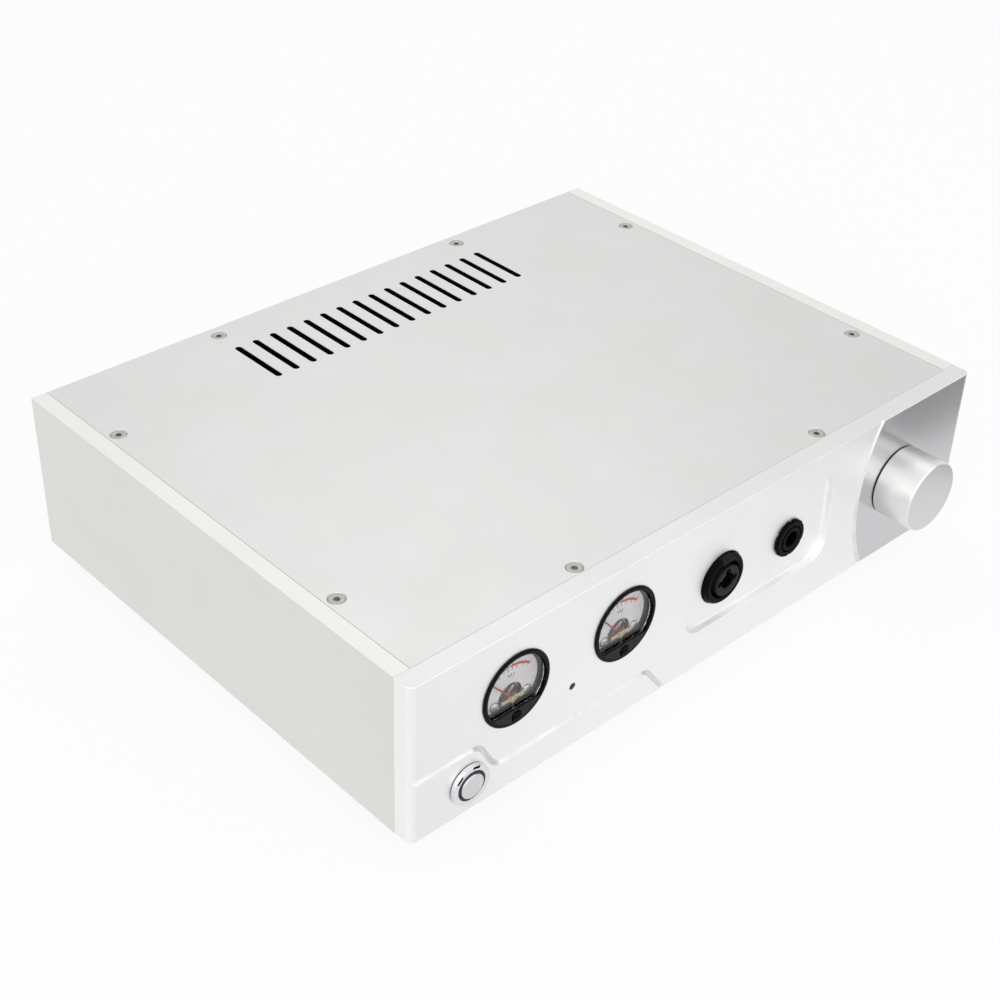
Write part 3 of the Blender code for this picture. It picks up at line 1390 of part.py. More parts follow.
def build_meter_yoke(side, centre, heights):
    """The magnet's iron ring with its core, and the bridge that holds the front pivot."""
    top = heights["yoke_top"]
    floor = heights["yoke_floor"]
    inner = YOKE_RADIUS - YOKE_WALL
    stem_end = heights["case_floor"] + SEAT_GAP
    profile = [
        (0.0, floor),
        (inner, floor),
        (inner, top),
        (YOKE_RADIUS, top),
        (YOKE_RADIUS, floor - YOKE_FLOOR),
        (YOKE_STEM_RADIUS, floor - YOKE_FLOOR),
        (YOKE_STEM_RADIUS, stem_end),
        (0.0, stem_end),
    ]
    yoke = turned(f"meter_{side}_magnet", profile, YOKE_STEPS, STEEL)
    core_top = heights["core_top"]
    core_bottom = core_top - CORE_LENGTH
    core = cylinder(f"meter_{side}_core", (0, 0), CORE_RADIUS, core_bottom, core_top, YOKE_STEPS)
    middle = (core_top + core_bottom) / 2
    post = box(
        f"meter_{side}_core_post",
        (-CORE_POST_WIDTH / 2, -inner - JOIN_OVERLAP, middle - CORE_POST_LENGTH / 2),
        (CORE_POST_WIDTH / 2, inner + JOIN_OVERLAP, middle + CORE_POST_LENGTH / 2),
    )
    join(yoke, core, post)
    bridge_bottom = heights["pointer_bottom"] + POINTER_THICKNESS + RUNNING_GAP
    bridge_top = bridge_bottom + BRIDGE_THICKNESS
    reach = inner + BRIDGE_LEG
    bar = box(
        f"meter_{side}_bridge",
        (-reach, -BRIDGE_WIDTH / 2, bridge_bottom),
        (reach, BRIDGE_WIDTH / 2, bridge_top),
    )
    join(yoke, bar)
    for hand in (-1, 1):
        edges = sorted((hand * inner, hand * reach))
        leg = box(
            f"meter_{side}_bridge_leg",
            (edges[0], -BRIDGE_WIDTH / 2, top - JOIN_OVERLAP),
            (edges[1], BRIDGE_WIDTH / 2, bridge_top - BRIDGE_THICKNESS / 2),
        )
        join(yoke, leg)
    place_on_front(yoke, (centre[0], centre[1] - PIVOT_DROP))


def build_meter_pointer(side, centre, heights):
    """The moving coil round the core, its staff, and the pointer at the left end of the scale."""
    bottom = heights["pointer_bottom"]
    top = bottom + POINTER_THICKNESS
    root = POINTER_ROOT_WIDTH / 2
    tip = POINTER_TIP_WIDTH / 2
    outline = [(root, -POINTER_TAIL), (tip, POINTER_LENGTH), (-tip, POINTER_LENGTH), (-root, -POINTER_TAIL)]
    pointer = prism(f"meter_{side}_pointer", outline, bottom, top, COPPER)
    hub = cylinder(f"meter_{side}_hub", (0, 0), POINTER_HUB_RADIUS, bottom, top, STAFF_STEPS)
    coil_top = heights["core_top"] + RUNNING_GAP + COIL_WIRE
    core_bottom = heights["core_top"] - CORE_LENGTH
    coil_bottom = core_bottom - RUNNING_GAP - COIL_WIRE
    inside = CORE_RADIUS + RUNNING_GAP
    outside = inside + COIL_WIRE
    half = COIL_WIDTH / 2
    coil = box(f"meter_{side}_coil", (-outside, -half, coil_bottom), (outside, half, coil_top))
    hollow = box(
        f"meter_{side}_coil_hollow",
        (-inside, -half - CUT_OVERRUN, coil_bottom + COIL_WIRE),
        (inside, half + CUT_OVERRUN, coil_top - COIL_WIRE),
    )
    cut(coil, hollow)
    front_staff = cylinder(
        f"meter_{side}_front_staff",
        (0, 0),
        STAFF_RADIUS,
        coil_top - COIL_WIRE / 2,
        (bottom + top) / 2,
        STAFF_STEPS,
    )
    rear_staff = cylinder(
        f"meter_{side}_rear_staff",
        (0, 0),
        STAFF_RADIUS,
        heights["yoke_floor"] + RUNNING_GAP,
        coil_bottom + COIL_WIRE / 2,
        STAFF_STEPS,
    )
    join(pointer, hub, coil, front_staff, rear_staff)
    place_on_front(pointer, (centre[0], centre[1] - PIVOT_DROP))
    pointer.matrix_world = pointer.matrix_world @ Matrix.Rotation(POINTER_REST_ANGLE, 4, "Z")


def build_zero_screw(side, centre):
    top = METER_BEZEL_HEIGHT + ZERO_SCREW_PROUD
    head_bottom = METER_BEZEL_HEIGHT - APRON_THICKNESS
    stem_end = head_bottom - ZERO_SCREW_STEM_LENGTH
    profile = [
        (0.0, top),
        (ZERO_SCREW_RADIUS, top),
        (ZERO_SCREW_RADIUS, head_bottom),
        (ZERO_SCREW_STEM_RADIUS, head_bottom),
        (ZERO_SCREW_STEM_RADIUS, stem_end),
        (0.0, stem_end),
    ]
    screw = turned(f"meter_{side}_zero_screw", profile, ZERO_SCREW_STEPS, MATT_BLACK)
    reach = ZERO_SCREW_RADIUS + CUT_OVERRUN
    slot = box(
        f"meter_{side}_zero_slot",
        (-reach, -ZERO_SCREW_SLOT_WIDTH / 2, top - ZERO_SCREW_SLOT_DEPTH),
        (reach, ZERO_SCREW_SLOT_WIDTH / 2, top + CUT_OVERRUN),
    )
    cut(screw, slot)
    place_on_front(screw, (centre[0], centre[1] - ZERO_SCREW_DROP))


def build_meters():
    heights = meter_heights()
    for side, centre in METER_CENTRES.items():
        build_meter_case(side, centre, heights)
        build_meter_window(side, centre, heights)
        build_meter_dial(side, centre, heights)
        build_meter_yoke(side, centre, heights)
        build_meter_pointer(side, centre, heights)
        build_zero_screw(side, centre)


# Sockets and indicator


def build_indicator():
    collar_top = -FRONT_THICKNESS - SEAT_GAP
    profile = [
        (0.0, 0.0),
        (INDICATOR_RADIUS, 0.0),
        (INDICATOR_RADIUS, collar_top),
        (INDICATOR_COLLAR_RADIUS, collar_top),
        (INDICATOR_COLLAR_RADIUS, collar_top - INDICATOR_COLLAR_LENGTH),
        (0.0, collar_top - INDICATOR_COLLAR_LENGTH),
    ]
    lens = turned("indicator_lens", profile, INDICATOR_STEPS, MATT_BLACK)
    place_on_front(lens, INDICATOR_CENTRE)


def build_combo_socket():
    """A round socket that takes a three-pin plug or, in its middle, a 6.35 mm jack plug."""
    top = -COMBO_RECESS
    groove_outer = COMBO_RADIUS - COMBO_RIM_WIDTH
    insert_top = top + COMBO_INSERT_BEYOND_RIM
    groove_floor = insert_top - COMBO_GROOVE_DEPTH
    flange_top = -FRONT_THICKNESS - SEAT_GAP
    flange_bottom = flange_top - COMBO_FLANGE_THICKNESS
    profile = [
        (0.0, insert_top - COMBO_BORE_DEPTH),
        (JACK_BORE_RADIUS, insert_top - COMBO_BORE_DEPTH),
        (JACK_BORE_RADIUS, insert_top),
        (COMBO_INSERT_RADIUS, insert_top),
        (COMBO_INSERT_RADIUS, groove_floor),
        (groove_outer, groove_floor),
        (groove_outer, top - COMBO_MOUTH_CHAMFER),
        (groove_outer + COMBO_MOUTH_CHAMFER, top),
        (COMBO_RADIUS - COMBO_RIM_CHAMFER, top),
        (COMBO_RADIUS, top - COMBO_RIM_CHAMFER),
        (COMBO_RADIUS, flange_bottom),
        (COMBO_BODY_RADIUS, flange_bottom),
        (COMBO_BODY_RADIUS, -COMBO_LENGTH),
        (0.0, -COMBO_LENGTH),
    ]
    body = turned("combo_socket_body", profile, COMBO_STEPS, MATT_BLACK)
    outline = rounded_outline(
        COMBO_FLANGE_WIDTH, COMBO_FLANGE_HEIGHT, COMBO_FLANGE_CORNER, COMBO_FLANGE_CORNER_STEPS
    )
    flange = prism("combo_flange", outline, flange_bottom, flange_top)
    inside = COMBO_RADIUS - JOIN_OVERLAP
    hollow = cylinder(
        "combo_flange_hollow",
        (0, 0),
        inside,
        flange_bottom - CUT_OVERRUN,
        flange_top + CUT_OVERRUN,
        COMBO_STEPS,
    )
    cut(flange, hollow)
    join(body, flange)
    for number, angle in enumerate(COMBO_CONTACT_ANGLES, 1):
        centre = (COMBO_CONTACT_RING * math.cos(angle), COMBO_CONTACT_RING * math.sin(angle))
        contact = cylinder(
            f"combo_contact_{number}",
            centre,
            COMBO_CONTACT_RADIUS,
            insert_top - COMBO_CONTACT_DEPTH,
            insert_top + CUT_OVERRUN,
            BORE_STEPS,
        )
        cut(body, contact)
    tab_top = COMBO_RADIUS - TAB_FROM_EDGE
    tab_low = tab_top - TAB_HEIGHT
    tab_front = top + TAB_BEYOND_RIM
    tab_bottom = tab_front - TAB_LENGTH
    slot_floor = tab_bottom - TAB_TRAVEL - RUNNING_GAP
    half = TAB_WIDTH / 2 + RUNNING_GAP
    slot = box(
        "combo_tab_slot",
        (-half, tab_low - RUNNING_GAP, slot_floor),
        (half, COMBO_RADIUS + CUT_OVERRUN, top + CUT_OVERRUN),
    )
    cut(body, slot)
    place_on_front(body, COMBO_CENTRE)

    tab = rounded_box(
        "combo_release_tab",
        (-TAB_WIDTH / 2, tab_low, tab_bottom),
        (TAB_WIDTH / 2, tab_top, tab_front),
        2,
        TAB_ROUNDING,
        TAB_ROUNDING_STEPS,
        MATT_BLACK,
    )
    place_on_front(tab, COMBO_CENTRE)


def build_phone_jack():
    body_front = -FRONT_THICKNESS - SEAT_GAP
    body_rear = body_front - JACK_BODY_LENGTH
    half = JACK_BODY_SIDE / 2
    body = rounded_box(
        "phone_jack_body",
        (-half, -half, body_rear),
        (half, half, body_front),
        2,
        JACK_BODY_CORNER,
        JACK_BODY_CORNER_STEPS,
        MATT_BLACK,
    )
    seat = POCKET_FLOOR + SEAT_GAP
    nut_top = seat + JACK_NUT_THICKNESS
    bushing_top = nut_top + JACK_BUSHING_BEYOND_NUT
    bushing = cylinder(
        "jack_bushing",
        (0, 0),
        JACK_BUSHING_RADIUS,
        body_front - JOIN_OVERLAP,
        bushing_top,
        JACK_STEPS,
    )
    join(body, bushing)
    bore = cylinder(
        "jack_bore",
        (0, 0),
        JACK_BORE_RADIUS,
        body_rear + JACK_BORE_MARGIN,
        bushing_top + CUT_OVERRUN,
        JACK_STEPS,
    )
    cut(body, bore)
    place_on_front(body, JACK_CENTRE)

    inner = JACK_BUSHING_RADIUS + RUNNING_GAP
    profile = [
        (inner, nut_top),
        (JACK_NUT_RADIUS - JACK_NUT_CHAMFER, nut_top),
        (JACK_NUT_RADIUS, nut_top - JACK_NUT_CHAMFER),
        (JACK_NUT_RADIUS, seat),
        (inner, seat),
    ]
    nut = turned("phone_jack_nut", profile, JACK_STEPS, MATT_BLACK, closed=True)
    notches = bmesh.new()
    for number in range(JACK_NUT_NOTCHES):
        angle = (number + 0.5) * 2 * math.pi / JACK_NUT_NOTCHES
        centre = (JACK_NUT_RADIUS * math.cos(angle), JACK_NUT_RADIUS * math.sin(angle))
        low = seat - CUT_OVERRUN
        high = nut_top + CUT_OVERRUN
        add_cylinder(notches, centre, JACK_NUT_NOTCH_RADIUS, low, high, JACK_NUT_NOTCH_STEPS)
    cut(nut, object_from_bmesh("jack_nut_notches", notches, None))
    place_on_front(nut, JACK_CENTRE)


# Rear fittings


def rca_places():
    """Seen from the front, as (from the left, above the underside)."""
    return [(column, row) for row in RCA_ROWS for column in RCA_COLUMNS]


def cavity_outline():
    """The inlet's opening: a rectangle with its two upper corners cut off."""
    half = INLET_CAVITY_WIDTH / 2
    low = -INLET_CAVITY_HEIGHT / 2
    high = INLET_CAVITY_HEIGHT / 2
    cut_off = INLET_CAVITY_CORNER
    return [
        (-half, low),
        (half, low),
        (half, high - cut_off),
        (half - cut_off, high),
        (cut_off - half, high),
        (-half, high - cut_off),
    ]


def build_inlet():
    """The mains inlet, with three blades in its opening and a drawer for the fuse below."""
    seat = SEAT_GAP
    flange_top = seat + INLET_FLANGE_THICKNESS
    hood_top = flange_top + INLET_HOOD_HEIGHT
    outline = rounded_outline(
        INLET_FLANGE_WIDTH, INLET_FLANGE_HEIGHT, INLET_FLANGE_CORNER, INLET_FLANGE_CORNER_STEPS
    )
    inlet = prism("mains_inlet", outline, seat, flange_top, MATT_BLACK)
    half_width = INLET_BODY_WIDTH / 2
    half_height = INLET_BODY_HEIGHT / 2
    body = box(
        "inlet_body",
        (-half_width, -half_height, -INLET_BODY_LENGTH),
        (half_width, half_height, hood_top),
    )
    join(inlet, body)
    rise = INLET_CAVITY_RISE
    floor = hood_top - INLET_CAVITY_DEPTH
    cavity_points = [(x, y + rise) for x, y in cavity_outline()]
    cut(inlet, prism("inlet_cavity", cavity_points, floor, hood_top + CUT_OVERRUN))
    drawer_half = DRAWER_WIDTH / 2 + RUNNING_GAP
    drawer_low = -DRAWER_DROP - DRAWER_HEIGHT / 2 - RUNNING_GAP
    drawer_high = -DRAWER_DROP + DRAWER_HEIGHT / 2 + RUNNING_GAP
    slot = box(
        "drawer_slot",
        (-drawer_half, drawer_low, hood_top - DRAWER_LENGTH - RUNNING_GAP),
        (drawer_half, drawer_high, hood_top + CUT_OVERRUN),
    )
    cut(inlet, slot)
    pin_top = hood_top - INLET_PIN_SHORT
    for number, (x, y) in enumerate(((-1, 0), (0, 1), (1, 0)), 1):
        centre_x = x * INLET_PIN_SPREAD
        centre_y = rise - INLET_PIN_RISE / 2 + y * INLET_PIN_RISE * 2
        pin = box(
            f"inlet_pin_{number}",
            (centre_x - INLET_PIN_THICKNESS / 2, centre_y - INLET_PIN_HEIGHT / 2, floor - JOIN_OVERLAP),
            (centre_x + INLET_PIN_THICKNESS / 2, centre_y + INLET_PIN_HEIGHT / 2, pin_top),
        )
        join(inlet, pin)
    for x in (-INLET_SCREW_SPREAD / 2, INLET_SCREW_SPREAD / 2):
        hole = cylinder(
            "inlet_screw_hole",
            (x, 0.0),
            INLET_SCREW_RADIUS,
            seat - CUT_OVERRUN,
            flange_top + CUT_OVERRUN,
            BORE_STEPS,
        )
        cut(inlet, hole)
    place_on_rear(inlet, INLET_CENTRE)

    half = DRAWER_WIDTH / 2
    low = -DRAWER_DROP - DRAWER_HEIGHT / 2
    high = -DRAWER_DROP + DRAWER_HEIGHT / 2
    drawer = box("fuse_drawer", (-half, low, hood_top - DRAWER_LENGTH), (half, high, hood_top), MATT_BLACK)
    lip_bottom = hood_top + SEAT_GAP
    lip = box(
        "drawer_lip",
        (-half - DRAWER_LIP, low - DRAWER_LIP, lip_bottom),
        (half + DRAWER_LIP, high + DRAWER_LIP / 2, lip_bottom + DRAWER_LIP_THICKNESS),
    )
    neck = box("drawer_neck", (-half, low, hood_top - JOIN_OVERLAP), (half, high, lip_bottom + JOIN_OVERLAP))
    fuse_bed = box(
        "fuse_bed",
        (
            DRAWER_FUSE_MARGIN - half,
            -DRAWER_DROP,
            hood_top - DRAWER_LENGTH + DRAWER_FUSE_MARGIN,
        ),
        (half - DRAWER_FUSE_MARGIN, high + CUT_OVERRUN, hood_top - DRAWER_FUSE_MARGIN - DRAWER_FUSE_RADIUS),
    )
    join(drawer, neck, lip)
    cut(drawer, fuse_bed)
    place_on_rear(drawer, INLET_CENTRE)


def build_rca_sockets():
    seat = SEAT_GAP
    flange_top = seat + RCA_FLANGE_THICKNESS
    top = flange_top + RCA_SHELL_LENGTH
    mouth_floor = top - RCA_MOUTH_DEPTH
    profile = [
        (0.0, top - RCA_CONTACT_DEPTH),
        (RCA_CONTACT_RADIUS, top - RCA_CONTACT_DEPTH),
        (RCA_CONTACT_RADIUS, mouth_floor),
        (RCA_MOUTH_RADIUS, mouth_floor),
        (RCA_MOUTH_RADIUS, top),
        (RCA_SHELL_RADIUS, top),
        (RCA_SHELL_RADIUS, flange_top),
        (RCA_FLANGE_RADIUS, flange_top),
        (RCA_FLANGE_RADIUS, seat),
        (RCA_THREAD_RADIUS, seat),
        (RCA_THREAD_RADIUS, -RCA_THREAD_LENGTH),
        (0.0, -RCA_THREAD_LENGTH),
    ]
    for number, centre in enumerate(rca_places(), 1):
        socket = turned(f"rca_socket_{number}", profile, RCA_STEPS, BRASS)
        place_on_rear(socket, centre)


# Inside the case


def board_box(name, from_left_edge, from_front_edge, width, length, height):
    """A component on the board, sunk into it a little so that the two join."""
    x = BOARD_LEFT + from_left_edge
    y = BOARD_FRONT + from_front_edge
    low = (x, y, BOARD_TOP - JOIN_OVERLAP)
    return box(name, low, (x + width, y + length, BOARD_TOP + height))


def build_main_board():
    low = (BOARD_LEFT, BOARD_FRONT, BOARD_UNDERSIDE)
    high = (BOARD_LEFT + BOARD_WIDTH, BOARD_FRONT + BOARD_LENGTH, BOARD_TOP)
    board = box("main_board", low, high, BOARD_GREEN)
    standoffs = bmesh.new()
    for x in (low[0] + STANDOFF_INSET, high[0] - STANDOFF_INSET):
        for y in (low[1] + STANDOFF_INSET, high[1] - STANDOFF_INSET):
            top = BOARD_UNDERSIDE + JOIN_OVERLAP
            bottom = BOARD_UNDERSIDE - STANDOFF_HEIGHT
            add_cylinder(standoffs, (x, y), STANDOFF_RADIUS, bottom, top, STANDOFF_STEPS)
    join(board, object_from_bmesh("standoffs", standoffs, None))
    for number in range(RELAY_COUNT):
        x = BOARD_WIDTH - RELAY_FROM_RIGHT + number * RELAY_PITCH
        name = f"relay_{number + 1}"
        join(board, board_box(name, x, RELAY_FROM_FRONT, RELAY_WIDTH, RELAY_LENGTH, RELAY_HEIGHT))
    for number in range(CHIP_COUNT):
        x = CHIP_FROM_LEFT + number * CHIP_PITCH
        name = f"chip_{number + 1}"
        join(board, board_box(name, x, CHIP_FROM_FRONT, CHIP_WIDTH, CHIP_LENGTH, CHIP_HEIGHT))
    terminal = board_box(
        "terminal_block",
        TERMINAL_FROM_LEFT,
        TERMINAL_FROM_FRONT,
        TERMINAL_WIDTH,
        TERMINAL_LENGTH,
        TERMINAL_HEIGHT,
    )
    join(board, terminal)
    caps = bmesh.new()
    last_row = HEAT_SINK_REAR - HEAT_SINK_DEPTH - SMALL_CAP_FROM_HEAT_SINK
    for row in range(SMALL_CAP_ROWS):
        for column in range(SMALL_CAP_COLUMNS):
            x = BOARD_LEFT + SMALL_CAP_FROM_LEFT + column * SMALL_CAP_PITCH
            y = last_row - row * SMALL_CAP_PITCH
            bottom = BOARD_TOP - JOIN_OVERLAP
            top = BOARD_TOP + SMALL_CAP_HEIGHT
            add_cylinder(caps, (x, y), SMALL_CAP_RADIUS, bottom, top, STANDOFF_STEPS)
    join(board, object_from_bmesh("small_capacitors", caps, None))


def build_filter_capacitors():
    bottom = BOARD_TOP + SEAT_GAP
    top = bottom + FILTER_CAP_HEIGHT
    profile = [
        (0.0, top),
        (FILTER_CAP_RADIUS - FILTER_CAP_EDGE, top),
        (FILTER_CAP_RADIUS, top - FILTER_CAP_EDGE),
        (FILTER_CAP_RADIUS, bottom),
        (0.0, bottom),
    ]
    for number in range(FILTER_CAP_COUNT):
        capacitor = turned(f"filter_capacitor_{number + 1}", profile, FILTER_CAP_STEPS, SLEEVE)
        x = BOARD_LEFT + FILTER_CAP_FROM_LEFT + number * FILTER_CAP_PITCH
        place(capacitor, (x, BOARD_FRONT + FILTER_CAP_FROM_FRONT, 0.0))


def heat_sink_outline():
    """A comb: the back plate lies along X, and its fins point to the front."""
    points = [(0.0, 0.0), (HEAT_SINK_WIDTH, 0.0)]
    step = (HEAT_SINK_WIDTH - HEAT_SINK_FIN_THICKNESS) / (HEAT_SINK_FINS - 1)
    for number in reversed(range(HEAT_SINK_FINS)):
        left = number * step
        right = left + HEAT_SINK_FIN_THICKNESS
        if number < HEAT_SINK_FINS - 1:
            points.append((right, -HEAT_SINK_BACK))
        points.append((right, -HEAT_SINK_DEPTH))
        points.append((left, -HEAT_SINK_DEPTH))
        if number > 0:
            points.append((left, -HEAT_SINK_BACK))
    return points


def build_heat_sinks():
    bottom = BOARD_TOP + SEAT_GAP
    for number in range(HEAT_SINK_COUNT):
        left = BOARD_LEFT + HEAT_SINK_FROM_LEFT + number * HEAT_SINK_PITCH
        outline = [(left + x, HEAT_SINK_REAR + y) for x, y in heat_sink_outline()]
        prism(f"heat_sink_{number + 1}", outline, bottom, bottom + HEAT_SINK_HEIGHT, ANODISED)


def build_transformer():
    """A ring of wound core, held to the floor by a dished plate and a bolt."""
    bottom = FLOOR_TOP + SEAT_GAP
    top = bottom + CORE_HEIGHT
    profile = []
    corners = (
        (CORE_INNER_RADIUS + CORE_ROUNDING, top - CORE_ROUNDING, math.pi, math.pi / 2),
        (CORE_OUTER_RADIUS - CORE_ROUNDING, top - CORE_ROUNDING, math.pi / 2, 0.0),
        (CORE_OUTER_RADIUS - CORE_ROUNDING, bottom + CORE_ROUNDING, 0.0, -math.pi / 2),
        (CORE_INNER_RADIUS + CORE_ROUNDING, bottom + CORE_ROUNDING, -math.pi / 2, -math.pi),
    )
    for radius, height, start, end in corners:
        profile += arc_points((radius, height), CORE_ROUNDING, start, end, CORE_ROUNDING_STEPS)
    centre = (from_left(CORE_CENTRE_FROM_LEFT), REAR_Y - CORE_CENTRE_FROM_REAR, 0.0)
    place(turned("transformer_core", profile, CORE_STEPS, TAPE, closed=True), centre)

    plate_bottom = top + SEAT_GAP
    plate_top = plate_bottom + CLAMP_THICKNESS
    hole = BOLT_RADIUS + RUNNING_GAP
    slope_end = CLAMP_DISH_RADIUS + CLAMP_DISH
    clamp_profile = [
        (hole, plate_top - CLAMP_DISH),
        (CLAMP_DISH_RADIUS, plate_top - CLAMP_DISH),
        (slope_end, plate_top),
        (CLAMP_RADIUS, plate_top),
        (CLAMP_RADIUS, plate_bottom),
        (slope_end, plate_bottom),
        (CLAMP_DISH_RADIUS, plate_bottom - CLAMP_DISH),
        (hole, plate_bottom - CLAMP_DISH),
    ]
    place(turned("transformer_clamp", clamp_profile, CLAMP_STEPS, STEEL, closed=True), centre)

    head_bottom = plate_top - CLAMP_DISH + SEAT_GAP
    head_top = head_bottom + BOLT_HEAD_HEIGHT
    shank_bottom = FLOOR_TOP + SEAT_GAP
    bolt = cylinder(
        "transformer_bolt", (0, 0), BOLT_HEAD_RADIUS, head_bottom, head_top, HEXAGON, STEEL
    )
    shank = cylinder(
        "bolt_shank", (0, 0), BOLT_RADIUS, shank_bottom, head_bottom + JOIN_OVERLAP, BOLT_STEPS
    )
    join(bolt, shank)
    place(bolt, centre)


build_front_panel()
build_side("left_side_panel", CASE_LEFT, 1)
build_side("right_side_panel", CASE_RIGHT, -1)
build_covers()
build_rear_panel()
build_cover_screws()
build_feet()
build_volume_control()
build_power_button()
build_meters()
build_indicator()
build_combo_socket()
build_phone_jack()
build_inlet()
build_rca_sockets()
build_main_board()
build_filter_capacitors()
build_heat_sinks()
build_transformer()
settle_parts()
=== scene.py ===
"""Looks of the headphone amplifier: finishes, fine pieces, camera and light."""

import math

import bmesh
import bpy
from mathutils import Matrix, Vector


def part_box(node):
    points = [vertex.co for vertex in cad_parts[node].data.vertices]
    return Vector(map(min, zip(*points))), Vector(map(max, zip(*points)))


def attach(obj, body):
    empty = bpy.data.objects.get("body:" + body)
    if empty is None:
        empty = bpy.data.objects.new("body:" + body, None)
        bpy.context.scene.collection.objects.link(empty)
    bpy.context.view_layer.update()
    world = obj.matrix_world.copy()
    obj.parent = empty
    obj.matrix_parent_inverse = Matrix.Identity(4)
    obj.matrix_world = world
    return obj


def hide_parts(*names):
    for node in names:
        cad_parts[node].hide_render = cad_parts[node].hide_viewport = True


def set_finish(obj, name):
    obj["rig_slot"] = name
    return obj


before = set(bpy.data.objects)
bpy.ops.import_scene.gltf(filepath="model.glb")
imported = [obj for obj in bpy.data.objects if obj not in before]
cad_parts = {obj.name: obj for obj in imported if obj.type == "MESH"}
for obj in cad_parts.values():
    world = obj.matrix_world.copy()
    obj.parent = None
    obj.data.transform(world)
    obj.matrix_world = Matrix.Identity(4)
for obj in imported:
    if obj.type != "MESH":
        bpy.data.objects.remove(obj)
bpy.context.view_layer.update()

MM = 0.001

# Places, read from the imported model
PANEL_LOW, PANEL_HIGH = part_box("front_panel")
FRONT_Y = PANEL_LOW.y
CASE_UNDERSIDE = PANEL_LOW.z
CASE_TOP = PANEL_HIGH.z
CASE_LEFT = PANEL_LOW.x
REAR_FACE_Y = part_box("rear_panel")[1].y

# Places on the front face, in millimetres from the case's left edge and underside
PANEL_WIDTH, PANEL_HEIGHT = 308.0, 70.8
PANEL_CORNER, PANEL_BACK = 3.0, -8.22
METER_PLACES = {"left": (48.0, 44.4), "right": (102.0, 44.4)}
BUTTON_PLACE = (26.5, 13.4)
LENS_PLACE = (76.5, 29.0)
COMBO_PLACE = (159.3, 35.4)
JACK_PLACE = (199.1, 35.4)
KNOB_PLACE = (265.5, 35.4)
GROOVE_ARC_CENTRE = (314.7, 35.4)
POCKET_PLACE = (179.1, 38.6)
POCKET_WIDTH, POCKET_HEIGHT, POCKET_CORNER, POCKET_DEPTH = 84.2, 42.0, 9.5, 3.0
WAVE_START, WAVE_FOOT = (27.8, 27.8), (42.5, 13.8)
WAVE_TURN_X, WAVE_EXIT_X, WAVE_TURN_RADIUS = 116.5, 127.0, 4.0
BEYOND_EDGE = 0.6
GLOSS_START_X = 238
FOOT_STRIP_END_X, FOOT_STRIP_TOP = 131, 30
LUG_REACH = 67.5

# Camera
IMAGE_SIDE = 1000
FOCAL_PIXELS = 1770.9
SENSOR = 36.0
PRINCIPAL_POINT = (487.204, 489.736)
CAMERA_RIGHT = Vector((0.7376533, -0.67475407, 0.0239699))
CAMERA_DOWN = Vector((-0.36920173, -0.43283293, -0.82240242))
CAMERA_FORWARD = Vector((0.56529433, 0.59779813, -0.56840101))
CAMERA_FROM_FRONT_FOOT = Vector((-0.433026, -0.328382, 0.447219))


def camera():
    """The photograph's camera, placed from the middle of the front panel's lower edge."""
    data = bpy.data.cameras.new("camera")
    data.sensor_width = SENSOR
    data.lens = FOCAL_PIXELS * SENSOR / IMAGE_SIDE
    data.shift_x = (IMAGE_SIDE / 2 - PRINCIPAL_POINT[0]) / IMAGE_SIDE
    data.shift_y = (PRINCIPAL_POINT[1] - IMAGE_SIDE / 2) / IMAGE_SIDE
    data.clip_start = 0.05
    data.clip_end = 20.0
    item = bpy.data.objects.new("camera", data)
    bpy.context.scene.collection.objects.link(item)
    turn = Matrix((CAMERA_RIGHT, -CAMERA_DOWN, -CAMERA_FORWARD)).transposed().to_4x4()
    foot = Vector((0.0, FRONT_Y, CASE_UNDERSIDE))
    item.matrix_world = Matrix.Translation(foot + CAMERA_FROM_FRONT_FOOT) @ turn
    bpy.context.scene.camera = item


# Shader helpers


